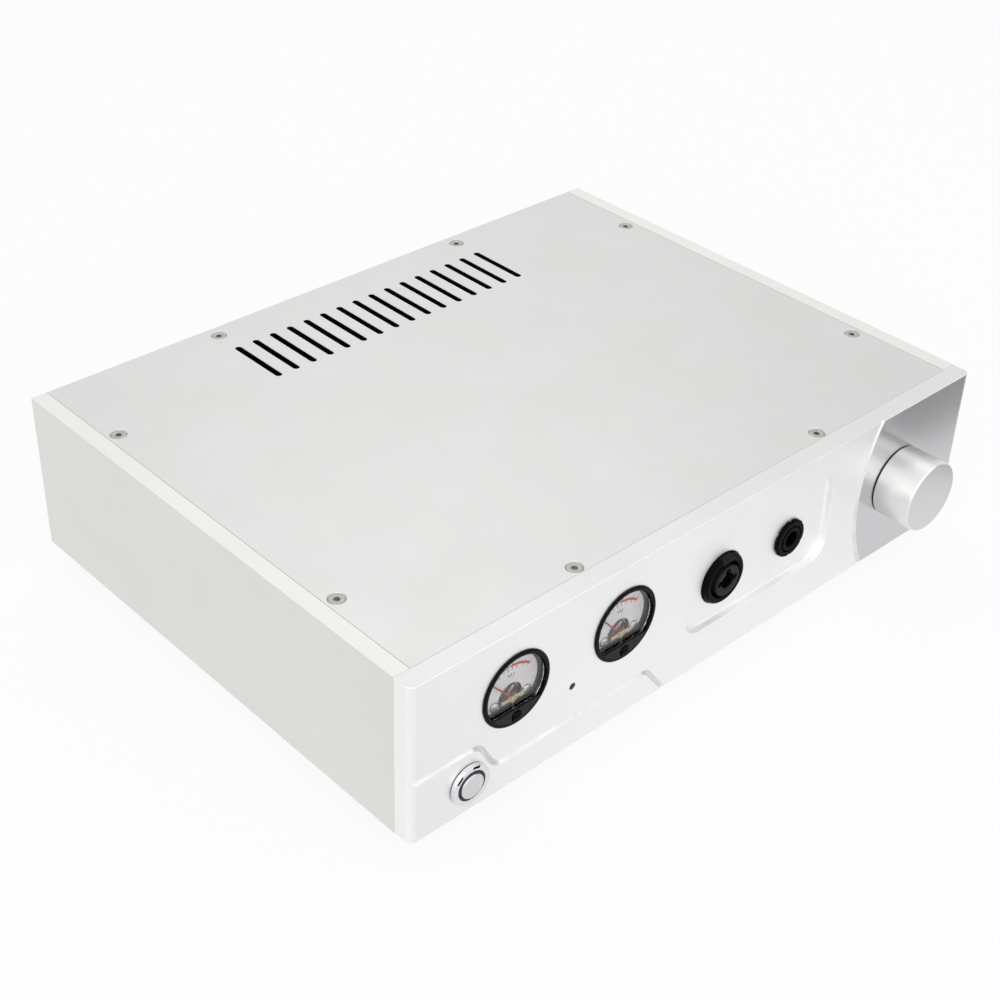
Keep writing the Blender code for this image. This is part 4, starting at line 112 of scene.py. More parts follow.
class Finish:
    """A material with a Principled shader, to which nodes are added by short calls."""

    def __init__(self, name, slot, colour, roughness, metallic=0.0, **values):
        self.slot = slot
        self.material = bpy.data.materials.new(name)
        self.material.use_nodes = True
        self.tree = self.material.node_tree
        self.shader = self.tree.nodes["Principled BSDF"]
        self.set("Base Color", (*colour, 1.0))
        self.set("Roughness", roughness)
        self.set("Metallic", metallic)
        for key, value in values.items():
            self.set(key.replace("_", " "), value)
        self.place = None

    def set(self, socket, value):
        self.shader.inputs[socket].default_value = value

    def feed(self, socket, value):
        """Links another socket to this one, or gives it a value."""
        if isinstance(value, bpy.types.NodeSocket):
            self.tree.links.new(value, socket)
        else:
            socket.default_value = value

    def node(self, kind, settings=None, **inputs):
        """A node, with settings for its properties, and inputs that are values or other sockets."""
        item = self.tree.nodes.new(kind)
        for key, value in (settings or {}).items():
            setattr(item, key, value)
        for key, value in inputs.items():
            self.feed(item.inputs[key.replace("_", " ")], value)
        return item

    def link(self, output, socket):
        self.tree.links.new(output, self.shader.inputs[socket])

    def position(self):
        """Places on the piece, in metres."""
        if self.place is None:
            self.place = self.node("ShaderNodeTexCoord").outputs["Object"]
        return self.place

    def split(self):
        """The place's three coordinates."""
        return self.node("ShaderNodeSeparateXYZ", Vector=self.position()).outputs

    def math(self, operation, first, second=0.0):
        item = self.tree.nodes.new("ShaderNodeMath")
        item.operation = operation
        for socket, value in zip(item.inputs, (first, second)):
            self.feed(socket, value)
        return item.outputs[0]

    def inside(self, value, low, high):
        """1 where a value is between two limits."""
        over = self.math("GREATER_THAN", value, low)
        return self.math("MULTIPLY", over, self.math("LESS_THAN", value, high))

    def noise(self, size, detail=2.0, roughness=0.5):
        """Noise whose grains are about as large as the size, in metres."""
        grains = {"Scale": 1 / size, "Detail": detail, "Roughness": roughness}
        item = self.node("ShaderNodeTexNoise", Vector=self.position(), **grains)
        return item.outputs["Fac"]

    def line_noise(self, distance, size, detail=2.0):
        """Noise that depends on one distance alone, for turned or brushed lines."""
        scaled = self.math("MULTIPLY", distance, 1 / size)
        item = self.node(
            "ShaderNodeTexNoise", {"noise_dimensions": "1D"}, W=scaled, Scale=1.0, Detail=detail
        )
        return item.outputs["Fac"]

    def spread(self, factor, low, high, start=0.3, end=0.7):
        item = self.node("ShaderNodeMapRange", Value=factor)
        for name, value in (
            ("From Min", start), ("From Max", end), ("To Min", low), ("To Max", high)
        ):
            item.inputs[name].default_value = value
        return item.outputs[0]

    def mix(self, factor, first, second):
        """Mixes two colours, each a value or a socket."""
        item = self.tree.nodes.new("ShaderNodeMix")
        item.data_type = "RGBA"
        for name, value in (("Factor", factor), ("A", first), ("B", second)):
            socket = next(s for s in item.inputs if s.name == name and s.enabled)
            self.feed(socket, (*value, 1.0) if isinstance(value, tuple) else value)
        return next(s for s in item.outputs if s.enabled)

    def bump(self, height, distance, strength=1.0):
        item = self.node("ShaderNodeBump", Height=height, Distance=distance, Strength=strength)
        previous = self.shader.inputs["Normal"].links
        if previous:
            self.tree.links.new(previous[0].from_socket, item.inputs["Normal"])
        self.link(item.outputs[0], "Normal")


# Finishes


def darker(colour, share):
    return tuple(channel * share for channel in colour)


def blasted_aluminium(name, colour, roughness):
    """Fine-blasted, clear-anodised aluminium, slightly cloudy, with handling marks in its gloss."""
    finish = Finish(name, "case_aluminium", colour, roughness, metallic=1.0)
    cloud = finish.noise(45 * MM, detail=4.0, roughness=0.6)
    tint = tuple(channel * share for channel, share in zip(colour, (0.965, 0.970, 0.960)))
    tone = finish.mix(finish.spread(cloud, 0.0, 1.0), colour, tint)
    speckle = finish.noise(0.9 * MM, detail=2.0, roughness=0.6)
    dark = darker(colour, 0.95)
    finish.link(finish.mix(finish.spread(speckle, 0.0, 0.5, 0.5, 0.72), tone, dark), "Base Color")
    grain = finish.noise(0.30 * MM, detail=3.0, roughness=0.7)
    smear = finish.noise(30 * MM, detail=3.0)
    rough = finish.math(
        "ADD", finish.spread(grain, roughness - 0.03, roughness + 0.04),
        finish.spread(smear, -0.02, 0.02)
    )
    finish.link(rough, "Roughness")
    finish.bump(grain, 0.006 * MM, 0.6)
    return finish


def plain_finish(
    name, slot, colour, roughness, metallic=0.0, grain=0.3, depth=0.004, vary=0.04, **values
):
    """A finish with a fine grain in its roughness and its surface; sizes in millimetres."""
    finish = Finish(name, slot, colour, roughness, metallic, **values)
    speckle = finish.noise(grain * MM, detail=3.0)
    finish.link(finish.spread(speckle, max(roughness - vary, 0.02), roughness + vary), "Roughness")
    cloud = finish.noise(grain * 30 * MM, detail=3.0)
    tint = darker(colour, 0.88)
    finish.link(finish.mix(finish.spread(cloud, 0.0, 1.0), colour, tint), "Base Color")
    finish.bump(speckle, depth * MM, 0.6)
    return finish


def turned_finish(name, slot, colour, roughness, size=0.16, depth=0.003, metallic=1.0):
    """Metal with the fine rings of a lathe round the piece's local Z axis."""
    finish = Finish(name, slot, colour, roughness, metallic)
    x, y, z = finish.split()
    squares = finish.math("ADD", finish.math("MULTIPLY", x, x), finish.math("MULTIPLY", y, y))
    along = finish.math("ADD", finish.math("SQRT", squares), z)
    lines = finish.line_noise(along, size * MM, detail=3.0)
    blotch = finish.noise(2.5 * MM, detail=3.0)
    rough = finish.math(
        "ADD", finish.spread(lines, roughness - 0.05, roughness + 0.05),
        finish.spread(blotch, -0.02, 0.02)
    )
    finish.link(rough, "Roughness")
    tint = darker(colour, 0.93)
    finish.link(finish.mix(finish.spread(lines, 0.0, 1.0), colour, tint), "Base Color")
    finish.bump(lines, depth * MM, 0.5)
    finish.bump(finish.noise(0.2 * MM, detail=2.0), 0.002 * MM, 0.5)
    return finish


def board_finish():
    """A green board with lighter tracks, and components told apart by where they stand."""
    finish = Finish("board_finish", "circuit_board", (0.02, 0.11, 0.05), 0.35)
    x, y, z = finish.split()
    cells = finish.node("ShaderNodeTexBrick", Vector=finish.position(), Scale=1 / (9 * MM))
    for name, value in (("Color1", 0.0), ("Color2", 0.0), ("Mortar", 1.0)):
        cells.inputs[name].default_value = (value, value, value, 1.0)
    cells.inputs["Mortar Size"].default_value = 0.05
    tracks = finish.mix(cells.outputs["Color"], (0.018, 0.10, 0.045), (0.035, 0.20, 0.08))
    high = finish.math("GREATER_THAN", z, 22.45 * MM)
    tone = finish.mix(high, tracks, (0.02, 0.02, 0.022))
    relays = finish.math("MULTIPLY", high, finish.inside(y, -47 * MM, -24 * MM))
    relays = finish.math("MULTIPLY", relays, finish.math("GREATER_THAN", x, 70 * MM))
    tone = finish.mix(relays, tone, (0.02, 0.08, 0.30))
    tops = finish.math(
        "MULTIPLY", finish.math("GREATER_THAN", z, 34.2 * MM),
        finish.math("GREATER_THAN", y, 20 * MM)
    )
    tone = finish.mix(tops, tone, (0.55, 0.55, 0.56))
    block = finish.math(
        "MULTIPLY", finish.math("LESS_THAN", x, 2 * MM), finish.math("LESS_THAN", y, -34 * MM)
    )
    tone = finish.mix(finish.math("MULTIPLY", block, high), tone, (0.03, 0.32, 0.10))
    finish.link(tone, "Base Color")
    finish.link(finish.spread(finish.noise(0.5 * MM), 0.28, 0.45), "Roughness")
    finish.bump(cells.outputs["Color"], 0.03 * MM, 0.4)
    return finish


def wound_finish(name, slot, colour, lines, overlap):
    """Tape or wire wound round a ring core whose axis is the piece's local Z."""
    finish = Finish(name, slot, colour, 0.42)
    x, y, z = finish.split()
    angle = finish.math("ARCTAN2", y, x)
    turns = finish.math("FRACT", finish.math("MULTIPLY", angle, lines / math.tau))
    edge = finish.spread(turns, 0.0, 1.0, 0.0, overlap)
    dark = darker(colour, 0.55)
    finish.link(finish.mix(edge, dark, colour), "Base Color")
    finish.link(finish.spread(finish.noise(1.2 * MM), 0.3, 0.5), "Roughness")
    finish.bump(edge, 0.12 * MM, 0.6)
    return finish


# Painted light and shade: one blasted, clear-anodised aluminium at three tones. It is lightest on
# the front panel, middle on the side panels, and darkest on the covers and rear panel, as light
# falls on front, sides and top.
CASE_SHADED = blasted_aluminium("case_shaded_tone", (0.66, 0.66, 0.655), 0.42)
SIDE_HALF_SHADED = blasted_aluminium("side_half_shaded_tone", (0.78, 0.785, 0.76), 0.52)
PANEL_LIT = blasted_aluminium("panel_lit_tone", (0.92, 0.92, 0.92), 0.55)
# Painted shade: the front panel's top face, darker than its front.
PANEL_TOP_SHADED = blasted_aluminium("panel_top_shaded_tone", (0.72, 0.72, 0.715), 0.45)
PANEL_FOOT = blasted_aluminium("panel_foot_finish", (0.92, 0.92, 0.92), 0.52)
# Right of the arc the panel is polished smoother, which is real, and given a darker, bluer tone,
# which is painted reflection of the knob and the dark surroundings.
PANEL_GLOSS_AND_REFLECTION = blasted_aluminium("panel_gloss_and_painted_reflection", (0.605, 0.605, 0.625), 0.23)
GROOVE = plain_finish(
    "groove_finish", "case_aluminium", (0.85, 0.85, 0.85), 0.45, metallic=1.0, depth=0.002
)
# Painted light and shade: one turned aluminium, as a lighter copy for the knob's side and a darker
# copy for its face.
KNOB = turned_finish("knob_finish", "turned_aluminium", (0.86, 0.86, 0.85), 0.38)
KNOB_FACE_SHADED = turned_finish("knob_face_shaded_tone", "turned_aluminium", (0.71, 0.71, 0.705), 0.38)
BUTTON = turned_finish("button_finish", "turned_aluminium", (0.80, 0.80, 0.83), 0.30, size=0.1)
BUTTON_CAP = turned_finish(
    "button_cap_finish", "turned_aluminium", (0.70, 0.705, 0.70), 0.34, size=0.1
)
SINK = plain_finish(
    "heat_sink_finish", "heat_sink_aluminium", (0.05, 0.05, 0.055), 0.4, metallic=0.6
)
SCREW = turned_finish("screw_finish", "screw_steel", (0.44, 0.43, 0.41), 0.36, size=0.12)
STEEL = plain_finish("steel_finish", "plated_steel", (0.58, 0.58, 0.56), 0.30, metallic=1.0)
MAGNET = turned_finish(
    "magnet_finish", "plated_steel", (0.46, 0.40, 0.37), 0.45, size=0.1, metallic=0.5
)
BRASS = plain_finish(
    "brass_finish", "plated_steel", (0.62, 0.50, 0.33), 0.34, metallic=1.0, grain=0.15
)
GLOSS_BLACK = plain_finish(
    "gloss_black_finish", "black_gloss_plastic", (0.003, 0.003, 0.0035), 0.20, vary=0.03,
    Specular_IOR_Level=0.06
)
# Black plastic, and also painted shade on the vent slots' walls in the top cover.
BLACK_AND_VENT_SHADE = plain_finish(
    "black_plastic_and_vent_shade", "black_plastic", (0.003, 0.003, 0.0035), 0.36, depth=0.008,
    Specular_IOR_Level=0.03
)
INSERT = plain_finish(
    "insert_finish", "black_plastic", (0.011, 0.011, 0.012), 0.34, depth=0.006,
    Specular_IOR_Level=0.07
)
APRON = plain_finish(
    "apron_finish", "black_plastic", (0.016, 0.016, 0.017), 0.40, depth=0.008,
    Specular_IOR_Level=0.08
)
RING = plain_finish(
    "ring_finish", "black_gloss_plastic", (0.006, 0.006, 0.035), 0.18, Specular_IOR_Level=0.3
)
RUBBER = plain_finish("rubber_finish", "rubber_feet", (0.020, 0.020, 0.020), 0.72, depth=0.03)
DIAL = plain_finish("dial_finish", "dial_enamel", (0.84, 0.82, 0.84), 0.50, grain=0.2, depth=0.002)
# Dial print, and the two dark marks on the power button's flange, which are painted reflection.
INK_AND_PAINTED_REFLECTION = plain_finish(
    "ink_and_painted_reflection", "dial_enamel", (0.004, 0.004, 0.006), 0.55, grain=0.1, depth=0.001,
    Specular_IOR_Level=0.1
)
RED_INK = plain_finish(
    "red_ink_finish", "dial_enamel", (0.62, 0.04, 0.05), 0.55, grain=0.1, depth=0.001
)
NEEDLE = plain_finish(
    "needle_finish", "copper_winding", (0.42, 0.05, 0.04), 0.40, grain=0.1, depth=0.001
)
COPPER = plain_finish(
    "copper_finish", "copper_winding", (0.42, 0.27, 0.21), 0.36, metallic=0.7, grain=0.1
)
GOLD = turned_finish("gold_finish", "gold_plate", (0.83, 0.62, 0.26), 0.20, size=0.12, depth=0.002)
RED_PLASTIC = plain_finish("red_plastic_finish", "black_gloss_plastic", (0.45, 0.02, 0.02), 0.30)
WHITE_PLASTIC = plain_finish("white_plastic_finish", "dial_enamel", (0.75, 0.74, 0.72), 0.32)
BOARD = board_finish()
TAPE = wound_finish("tape_finish", "winding_tape", (0.66, 0.46, 0.06), 36, 0.14)
SLEEVE = plain_finish("sleeve_finish", "capacitor_sleeve", (0.02, 0.02, 0.045), 0.26)
CAN = plain_finish("can_finish", "capacitor_sleeve", (0.66, 0.66, 0.66), 0.28, metallic=1.0)
WINDOW = Finish(
    "window_finish", "clear_window", (0.97, 0.97, 0.97), 0.03, Transmission_Weight=1.0, IOR=1.3
)
WINDOW.link(WINDOW.spread(WINDOW.noise(4 * MM, detail=3.0), 0.015, 0.05), "Roughness")

# Mesh helpers: outlines and profiles are in millimetres

FRONT_TURN = Matrix(((1, 0, 0, 0), (0, 0, -1, 0), (0, 1, 0, 0), (0, 0, 0, 1)))
REAR_TURN = Matrix(((-1, 0, 0, 0), (0, 0, 1, 0), (0, 1, 0, 0), (0, 0, 0, 1)))
SLOTS = 5  # material slots that a cutter can carry into a cut


def turn_z(degrees):
    return Matrix.Rotation(math.radians(degrees), 4, "Z")


def on_front(x=0.0, y=0.0, turn=0.0):
    """A place from the case's left edge and underside; local +Z points at the viewer."""
    place = Matrix.Translation((CASE_LEFT + x * MM, FRONT_Y, CASE_UNDERSIDE + y * MM))
    return place @ FRONT_TURN @ turn_z(turn)


def on_rear(x, y, turn=0.0):
    """A place on the rear face, from the same edges; local +Z points backwards."""
    place = Matrix.Translation((CASE_LEFT + x * MM, REAR_FACE_Y, CASE_UNDERSIDE + y * MM))
    return place @ REAR_TURN @ turn_z(turn)


def upright(x=0.0, y=0.0, z=0.0, turn=0.0):
    return Matrix.Translation((x * MM, y * MM, z * MM)) @ turn_z(turn)


def upside_down(x, y, z, turn=0.0):
    return upright(x, y, z) @ Matrix.Rotation(math.pi, 4, "X") @ turn_z(turn)


def in_mm(low, high):
    """A box's low corner, high corner and middle, in millimetres."""
    low, high = ([value / MM for value in corner] for corner in (low, high))
    return low, high, [(a + b) / 2 for a, b in zip(low, high)]


def polar(radius, degrees):
    """The point at a radius and an angle from the origin."""
    return arc((0, 0), radius, degrees, degrees, 1)[0]


def arc(centre, radius, start, end, steps):
    """Points on an arc, from one angle to the other in degrees."""
    points = []
    for step in range(steps + 1):
        angle = math.radians(start + (end - start) * step / steps)
        points.append((centre[0] + radius * math.cos(angle), centre[1] + radius * math.sin(angle)))
    return points


def soften(points, radius, steps=3, closed=False):
    """The same outline with its corners rounded."""
    result = []
    for index, point in enumerate(points):
        if not closed and index in (0, len(points) - 1):
            result.append(point)
            continue
        corner = Vector(point)
        back = Vector(points[index - 1]) - corner
        ahead = Vector(points[(index + 1) % len(points)]) - corner
        reach = min(radius, back.length * 0.45, ahead.length * 0.45)
        if reach < 0.005 or abs(back.normalized().dot(ahead.normalized())) > 0.995:
            result.append(point)
            continue
        start = corner + back.normalized() * reach
        end = corner + ahead.normalized() * reach
        for step in range(steps + 1):
            t = step / steps
            where = start * (1 - t) ** 2 + corner * 2 * t * (1 - t) + end * t**2
            result.append((where.x, where.y))
    return result


def rounded_outline(width, height, corner, steps=8):
    """A rectangle round the origin with round corners."""
    points = []
    for x, y, start in ((1, 1, 0), (-1, 1, 90), (-1, -1, 180), (1, -1, 270)):
        centre = (x * (width / 2 - corner), y * (height / 2 - corner))
        points += arc(centre, corner, start, start + 90, steps)
    return points


def hexagon(radius):
    return arc((0, 0), radius, 0, 300, 5)


def loft(rings, closed=False, caps=True):
    """Joins rings of points, each as long as the next or a single point."""
    bm = bmesh.new()
    loops = [[bm.verts.new(point) for point in ring] for ring in rings]
    pairs = list(zip(loops, loops[1:]))
    if closed:
        pairs.append((loops[-1], loops[0]))
    for low, high in pairs:
        count = max(len(low), len(high))
        for k in range(count if count > 1 else 0):
            n = (k + 1) % count
            corners = (
                low[k % len(low)], low[n % len(low)], high[n % len(high)], high[k % len(high)]
            )
            bm.faces.new(list(dict.fromkeys(corners)))
    if caps and not closed:
        for loop in (loops[0], loops[-1]):
            if len(loop) > 2:
                bm.faces.new(loop)
    bmesh.ops.recalc_face_normals(bm, faces=bm.faces)
    return bm


def lathe(profile, steps=96, closed=False, centre=(0.0, 0.0)):
    """Turns a profile of (radius, height) round the local Z axis."""
    rings = []
    for radius, height in profile:
        if radius < 0.001:
            rings.append([(centre[0], centre[1], height)])
            continue
        rings.append(
            [(x, y, height) for x, y in arc(centre, radius, 0, 360 - 360 / steps, steps - 1)]
        )
    return loft(rings, closed, caps=False)


def bevelled(bm, edges, width, steps):
    """Rounds the given edges."""
    bmesh.ops.bevel(bm, geom=edges, offset=width, segments=steps, profile=0.5, affect="EDGES")
    return bm


def prism(outline, low, high, edge=0.0, steps=2):
    """An outline made solid between two heights, with a rounding on its two rims."""
    bm = loft([[(x, y, z) for x, y in outline] for z in (low, high)])
    if edge:
        rims = [e for e in bm.edges if abs(e.verts[0].co.z - e.verts[1].co.z) < 0.001]
        bevelled(bm, rims, edge, steps)
    return bm


def block(low, high, edge=0.0, steps=2):
    """A box between two corners, with rounded edges."""
    outline = [(low[0], low[1]), (high[0], low[1]), (high[0], high[1]), (low[0], high[1])]
    bm = prism(outline, low[2], high[2])
    if edge:
        bevelled(bm, bm.edges[:], edge, steps)
    return bm


def pin(radius, low, high, centre=(0.0, 0.0), steps=48, edge=0.0):
    profile = soften([(0, low), (radius, low), (radius, high), (0, high)], edge)
    return lathe(profile, steps, centre=centre)


def band(inner, outer, start, end, low, high, centre=(0.0, 0.0), steps=24):
    """A flat piece of a ring, between two angles."""
    outline = arc(centre, outer, start, end, steps) + arc(centre, inner, end, start, steps)
    return prism(outline, low, high)


def thread(radius, depth, high, low, pitch=0.5):
    """The rings of a thread, from the high end down."""
    points = []
    for number in range(max(1, round((high - low) / pitch))):
        start = high - number * pitch
        points += [
            (radius - depth, start), (radius, start - pitch * 0.4), (radius, start - pitch * 0.6)
        ]
    return points


def moved(bm, place):
    bmesh.ops.transform(bm, matrix=place, verts=bm.verts)
    return bm


def marked(bm, index):
    """Gives all faces one material slot."""
    for face in bm.faces:
        face.material_index = index
    return bm


def merged(*parts):
    """One mesh of several shells."""
    total = bmesh.new()
    for part in parts:
        mesh = bpy.data.meshes.new("part")
        part.to_mesh(mesh)
        part.free()
        total.from_mesh(mesh)
        bpy.data.meshes.remove(mesh)
    return total


def spare_object(bm):
    mesh = bpy.data.meshes.new("spare")
    bm.to_mesh(mesh)
    bm.free()
    for _ in range(SLOTS):
        mesh.materials.append(None)
    item = bpy.data.objects.new("spare", mesh)
    bpy.context.scene.collection.objects.link(item)
    return item


def evaluated_mesh(item):
    bpy.context.view_layer.update()
    graph = bpy.context.evaluated_depsgraph_get()
    mesh = bpy.data.meshes.new_from_object(item.evaluated_get(graph), depsgraph=graph)
    result = bmesh.new()
    result.from_mesh(mesh)
    bpy.data.meshes.remove(mesh)
    return result


def combined(base, tools, operation="DIFFERENCE"):
    """The base with tools cut out of it or joined to it."""
    item = spare_object(base)
    others = [spare_object(tool) for tool in tools]
    for other in others:
        modifier = item.modifiers.new("combine", "BOOLEAN")
        modifier.operation = operation
        modifier.solver = "EXACT"
        modifier.object = other
    result = evaluated_mesh(item)
    for spare in [item, *others]:
        data = spare.data
        bpy.data.objects.remove(spare)
        bpy.data.meshes.remove(data)
    return result


def text_mesh(words, height, low, high):
    """Printed figures, in the plain built-in font."""
    curve = bpy.data.curves.new("print", "FONT")
    curve.body = words
    curve.size = height
    curve.align_x = "CENTER"
    curve.align_y = "CENTER"
    curve.resolution_u = 3
    curve.extrude = (high - low) / 2
    item = bpy.data.objects.new("print", curve)
    bpy.context.scene.collection.objects.link(item)
    result = evaluated_mesh(item)
    bpy.data.objects.remove(item)
    bpy.data.curves.remove(curve)
    return moved(result, Matrix.Translation((0, 0, (low + high) / 2)))


def settle(item, body, slot=None, replaces=()):
    bpy.context.view_layer.update()
    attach(item, body)
    if slot:
        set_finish(item, slot)
    if replaces:
        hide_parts(replaces)
    return item


def piece(name, bm, finishes, place, body="case", replaces=(), sharp=35, weighted=False):
    """Puts a mesh in the scene with its finishes, on the body that it rides on."""
    if isinstance(finishes, Finish):
        finishes = [finishes]
    bmesh.ops.scale(bm, vec=(MM, MM, MM), verts=bm.verts)
    mesh = bpy.data.meshes.new(name)
    bm.to_mesh(mesh)
    bm.free()
    for finish in finishes:
        mesh.materials.append(finish.material)
    mesh.shade_smooth()
    mesh.set_sharp_from_angle(angle=math.radians(sharp))
    item = bpy.data.objects.new(name, mesh)
    bpy.context.scene.collection.objects.link(item)
    item.matrix_world = place
    if weighted:
        modifier = item.modifiers.new("weights", "WEIGHTED_NORMAL")
        modifier.keep_sharp = True
        modifier.weight = 100
    return settle(item, body, finishes[0].slot, replaces)


def copy_of(item, name, place, body="case", replaces=()):
    """The same mesh in another place."""
    other = bpy.data.objects.new(name, item.data)
    bpy.context.scene.collection.objects.link(other)
    other.matrix_world = place
    return settle(other, body, item["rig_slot"], replaces)


def series(name, bm, finishes, places, in_cad=False, sharp=35):
    """One mesh at several places, as numbered pieces; in_cad where they stand for CAD nodes."""
    first = None
    for number, place in enumerate(places, 1):
        numbered = f"{name}_{number}"
        full, replaced = (numbered + "_fine", numbered) if in_cad else (numbered, ())
        if first is None:
            first = piece(full, bm, finishes, place, replaces=replaced, sharp=sharp)
        else:
            copy_of(first, full, place, replaces=replaced)


def node(name):
    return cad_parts[name]


def paint(finish, *names):
    """Gives CAD nodes a finish."""
    for name in names:
        slots = node(name).data.materials
        slots.clear()
        slots.append(finish.material)


def round_edges(width, *names):
    """Breaks the sharp edges of CAD nodes."""
    for name in names:
        weld = node(name).modifiers.new("weld", "WELD")
        weld.merge_threshold = 0.005 * MM
        flat = node(name).modifiers.new("flat", "DECIMATE")
        flat.decimate_type = "DISSOLVE"
        flat.angle_limit = math.radians(1)
        bevel = node(name).modifiers.new("edges", "BEVEL")
        bevel.width = width * MM
        bevel.segments = 2
        bevel.limit_method = "ANGLE"
        bevel.angle_limit = math.radians(40)
        bevel.harden_normals = True


# Front panel


def wave_path():
    """The groove round the power button, along the foot of the panel and out below it."""
    start, foot = Vector(WAVE_START), Vector(WAVE_FOOT)
    handle = (foot.x - start.x) * 0.5
    step_down = []
    for step in range(29):
        t = step / 28
        a, b, c, d = (1 - t) ** 3, 3 * t * (1 - t) ** 2, 3 * t * t * (1 - t), t**3
        x = a * start.x + b * (start.x + handle) + c * (foot.x - handle) + d * foot.x
        y = a * start.y + b * start.y + c * foot.y + d * foot.y
        step_down.append((x, y))
    steepness = math.degrees(math.atan2(WAVE_FOOT[1], WAVE_EXIT_X - WAVE_TURN_X))
    turn_x = WAVE_TURN_X - WAVE_TURN_RADIUS * math.tan(math.radians(steepness / 2))
    centre = (turn_x, WAVE_FOOT[1] - WAVE_TURN_RADIUS)
    turn_down = arc(centre, WAVE_TURN_RADIUS, 90, 90 - steepness, 10)
    out = BEYOND_EDGE / math.tan(math.radians(steepness))
    return [(-0.5, WAVE_START[1])] + step_down + turn_down + [(WAVE_EXIT_X + out, -BEYOND_EDGE)]


def swept_vee(path, half, top, bottom, flat):
    """A vee that follows a path on the face."""
    rings = []
    for index, point in enumerate(path):
        here = Vector(point)
        back = (here - Vector(path[index - 1])).normalized() if index else None
        ahead = (Vector(path[index + 1]) - here).normalized() if index < len(path) - 1 else None
        along = ((back or ahead) + (ahead or back)).normalized()
        normal = Vector((-along.y, along.x)) / max(0.5, along.dot(ahead or back))
        ring = []
        for across, height in ((-half, top), (-flat, bottom), (flat, bottom), (half, top)):
            where = here + normal * across
            ring.append((where.x, where.y, height))
        rings.append(ring)
    return loft(rings)


def pocket_cutter():
    """Each level is the outline's growth and its height; the floor's edge is a quarter round."""
    levels = [(0.45, 0.2), (0.0, -0.25), (-0.28, -1.8)]
    for step in range(1, 7):
        angle = math.radians(90 * step / 6)
        rise = 1.2 * (1 - math.sin(angle))
        levels.append((-0.28 - 1.2 * (1 - math.cos(angle)), -POCKET_DEPTH + rise))
    rings = []
    for growth, height in levels:
        sides = (POCKET_WIDTH + 2 * growth, POCKET_HEIGHT + 2 * growth)
        outline = rounded_outline(*sides, POCKET_CORNER + growth, 14)
        rings.append([(x + POCKET_PLACE[0], y + POCKET_PLACE[1], height) for x, y in outline])
    return loft(rings)


def hole(centre, radius, top=0.0, bottom=-9.0, flare=0.3, steps=96):
    profile = [
        (0, bottom), (radius, bottom), (radius, top - flare), (radius + flare + 0.1, top + 0.1)
    ]
    return lathe(profile + [(0, top + 0.1)], steps, centre=centre)


def face_extent(face):
    """The low and the high corner of the box round a face."""
    points = [vertex.co for vertex in face.verts]
    return [Vector(tuple(pick(values) for values in zip(*points))) for pick in (min, max)]


def build_front_panel():
    outline = [(0.0, PANEL_BACK)]
    outline += arc((PANEL_CORNER, -PANEL_CORNER), PANEL_CORNER, 180, 90, 12)
    outline += arc((PANEL_WIDTH - PANEL_CORNER, -PANEL_CORNER), PANEL_CORNER, 90, 0, 12)
    outline.append((PANEL_WIDTH, PANEL_BACK))
    panel = loft([[(x, y, z) for x, z in outline] for y in (0.0, PANEL_HEIGHT)])
    rims = []
    for edge in panel.edges:
        level = abs(edge.verts[0].co.y - edge.verts[1].co.y) < 0.001
        if level and any(vertex.co.z > -8.1 for vertex in edge.verts):
            rims.append(edge)
    bevelled(panel, rims, 0.5, 3)
    lugs = []
    for side in (-LUG_REACH, LUG_REACH):
        lugs.append(block((148 + side, 60.5, -16.5), (160 + side, 67.5, -7.9), 0.3, 1))
    panel = combined(panel, lugs, "UNION")

    vee = [(76.22, 0.12), (75.1, -1.0), (74.9, -1.0), (73.78, 0.12)]
    groove = lathe(vee, 400, closed=True, centre=GROOVE_ARC_CENTRE)
    wave = swept_vee(wave_path(), 1.22, 0.12, -1.0, 0.1)
    panel = combined(panel, [marked(groove, 2), marked(wave, 2), pocket_cutter()])
    holes = [hole(place, 14.5) for place in METER_PLACES.values()]
    holes += [
        hole(BUTTON_PLACE, 8.0),
        hole(LENS_PLACE, 1.5, flare=0.15, steps=48),
        hole(COMBO_PLACE, 11.25, top=-POCKET_DEPTH),
        hole(JACK_PLACE, 5.9, top=-POCKET_DEPTH),
        hole(KNOB_PLACE, 4.8),
    ]
    pot_pocket = prism(rounded_outline(25.6, 25.6, 2.0), -8.2, -4.0)
    holes.append(moved(pot_pocket, Matrix.Translation((*KNOB_PLACE, 0.0))))
    for side in (-LUG_REACH, LUG_REACH):
        lie = Matrix.Translation((PANEL_WIDTH / 2 + side, 0.0, -12.2))
        lie = lie @ Matrix.Rotation(math.radians(-90), 4, "X")
        holes.append(moved(pin(1.8, 58.0, 68.0, steps=32), lie))
    panel = combined(panel, holes)
    for face in panel.faces:
        low, high = face_extent(face)
        # Painted shade: the panel's upward face gets the darker top tone.
        if face.normal.y > 0.9 and high.y > 70.7:
            face.material_index = 3
        if face.normal.z < 0.99 or high.z < -0.01:
            continue
        # Right of the arc: real smoother polish, with a darker tone that is painted reflection.
        if low.x > GLOSS_START_X:
            face.material_index = 1
        elif high.x < FOOT_STRIP_END_X and high.y < FOOT_STRIP_TOP:
            face.material_index = 4
    # The front's main tone is the lighter copy, painted light.
    finishes = [PANEL_LIT, PANEL_GLOSS_AND_REFLECTION, GROOVE, PANEL_TOP_SHADED, PANEL_FOOT]
    piece("front_panel_fine", panel, finishes, on_front(), replaces="front_panel", weighted=True)


# Covers, screws and feet

COVER_SCREWS = [(-142.0, -59.7), (142.0, -59.7), (-142.0, 76.1), (142.0, 76.1)]
COVER_SCREWS += [(-67.5, -100.3), (67.5, -100.3), (-67.5, 114.3), (67.5, 114.3)]


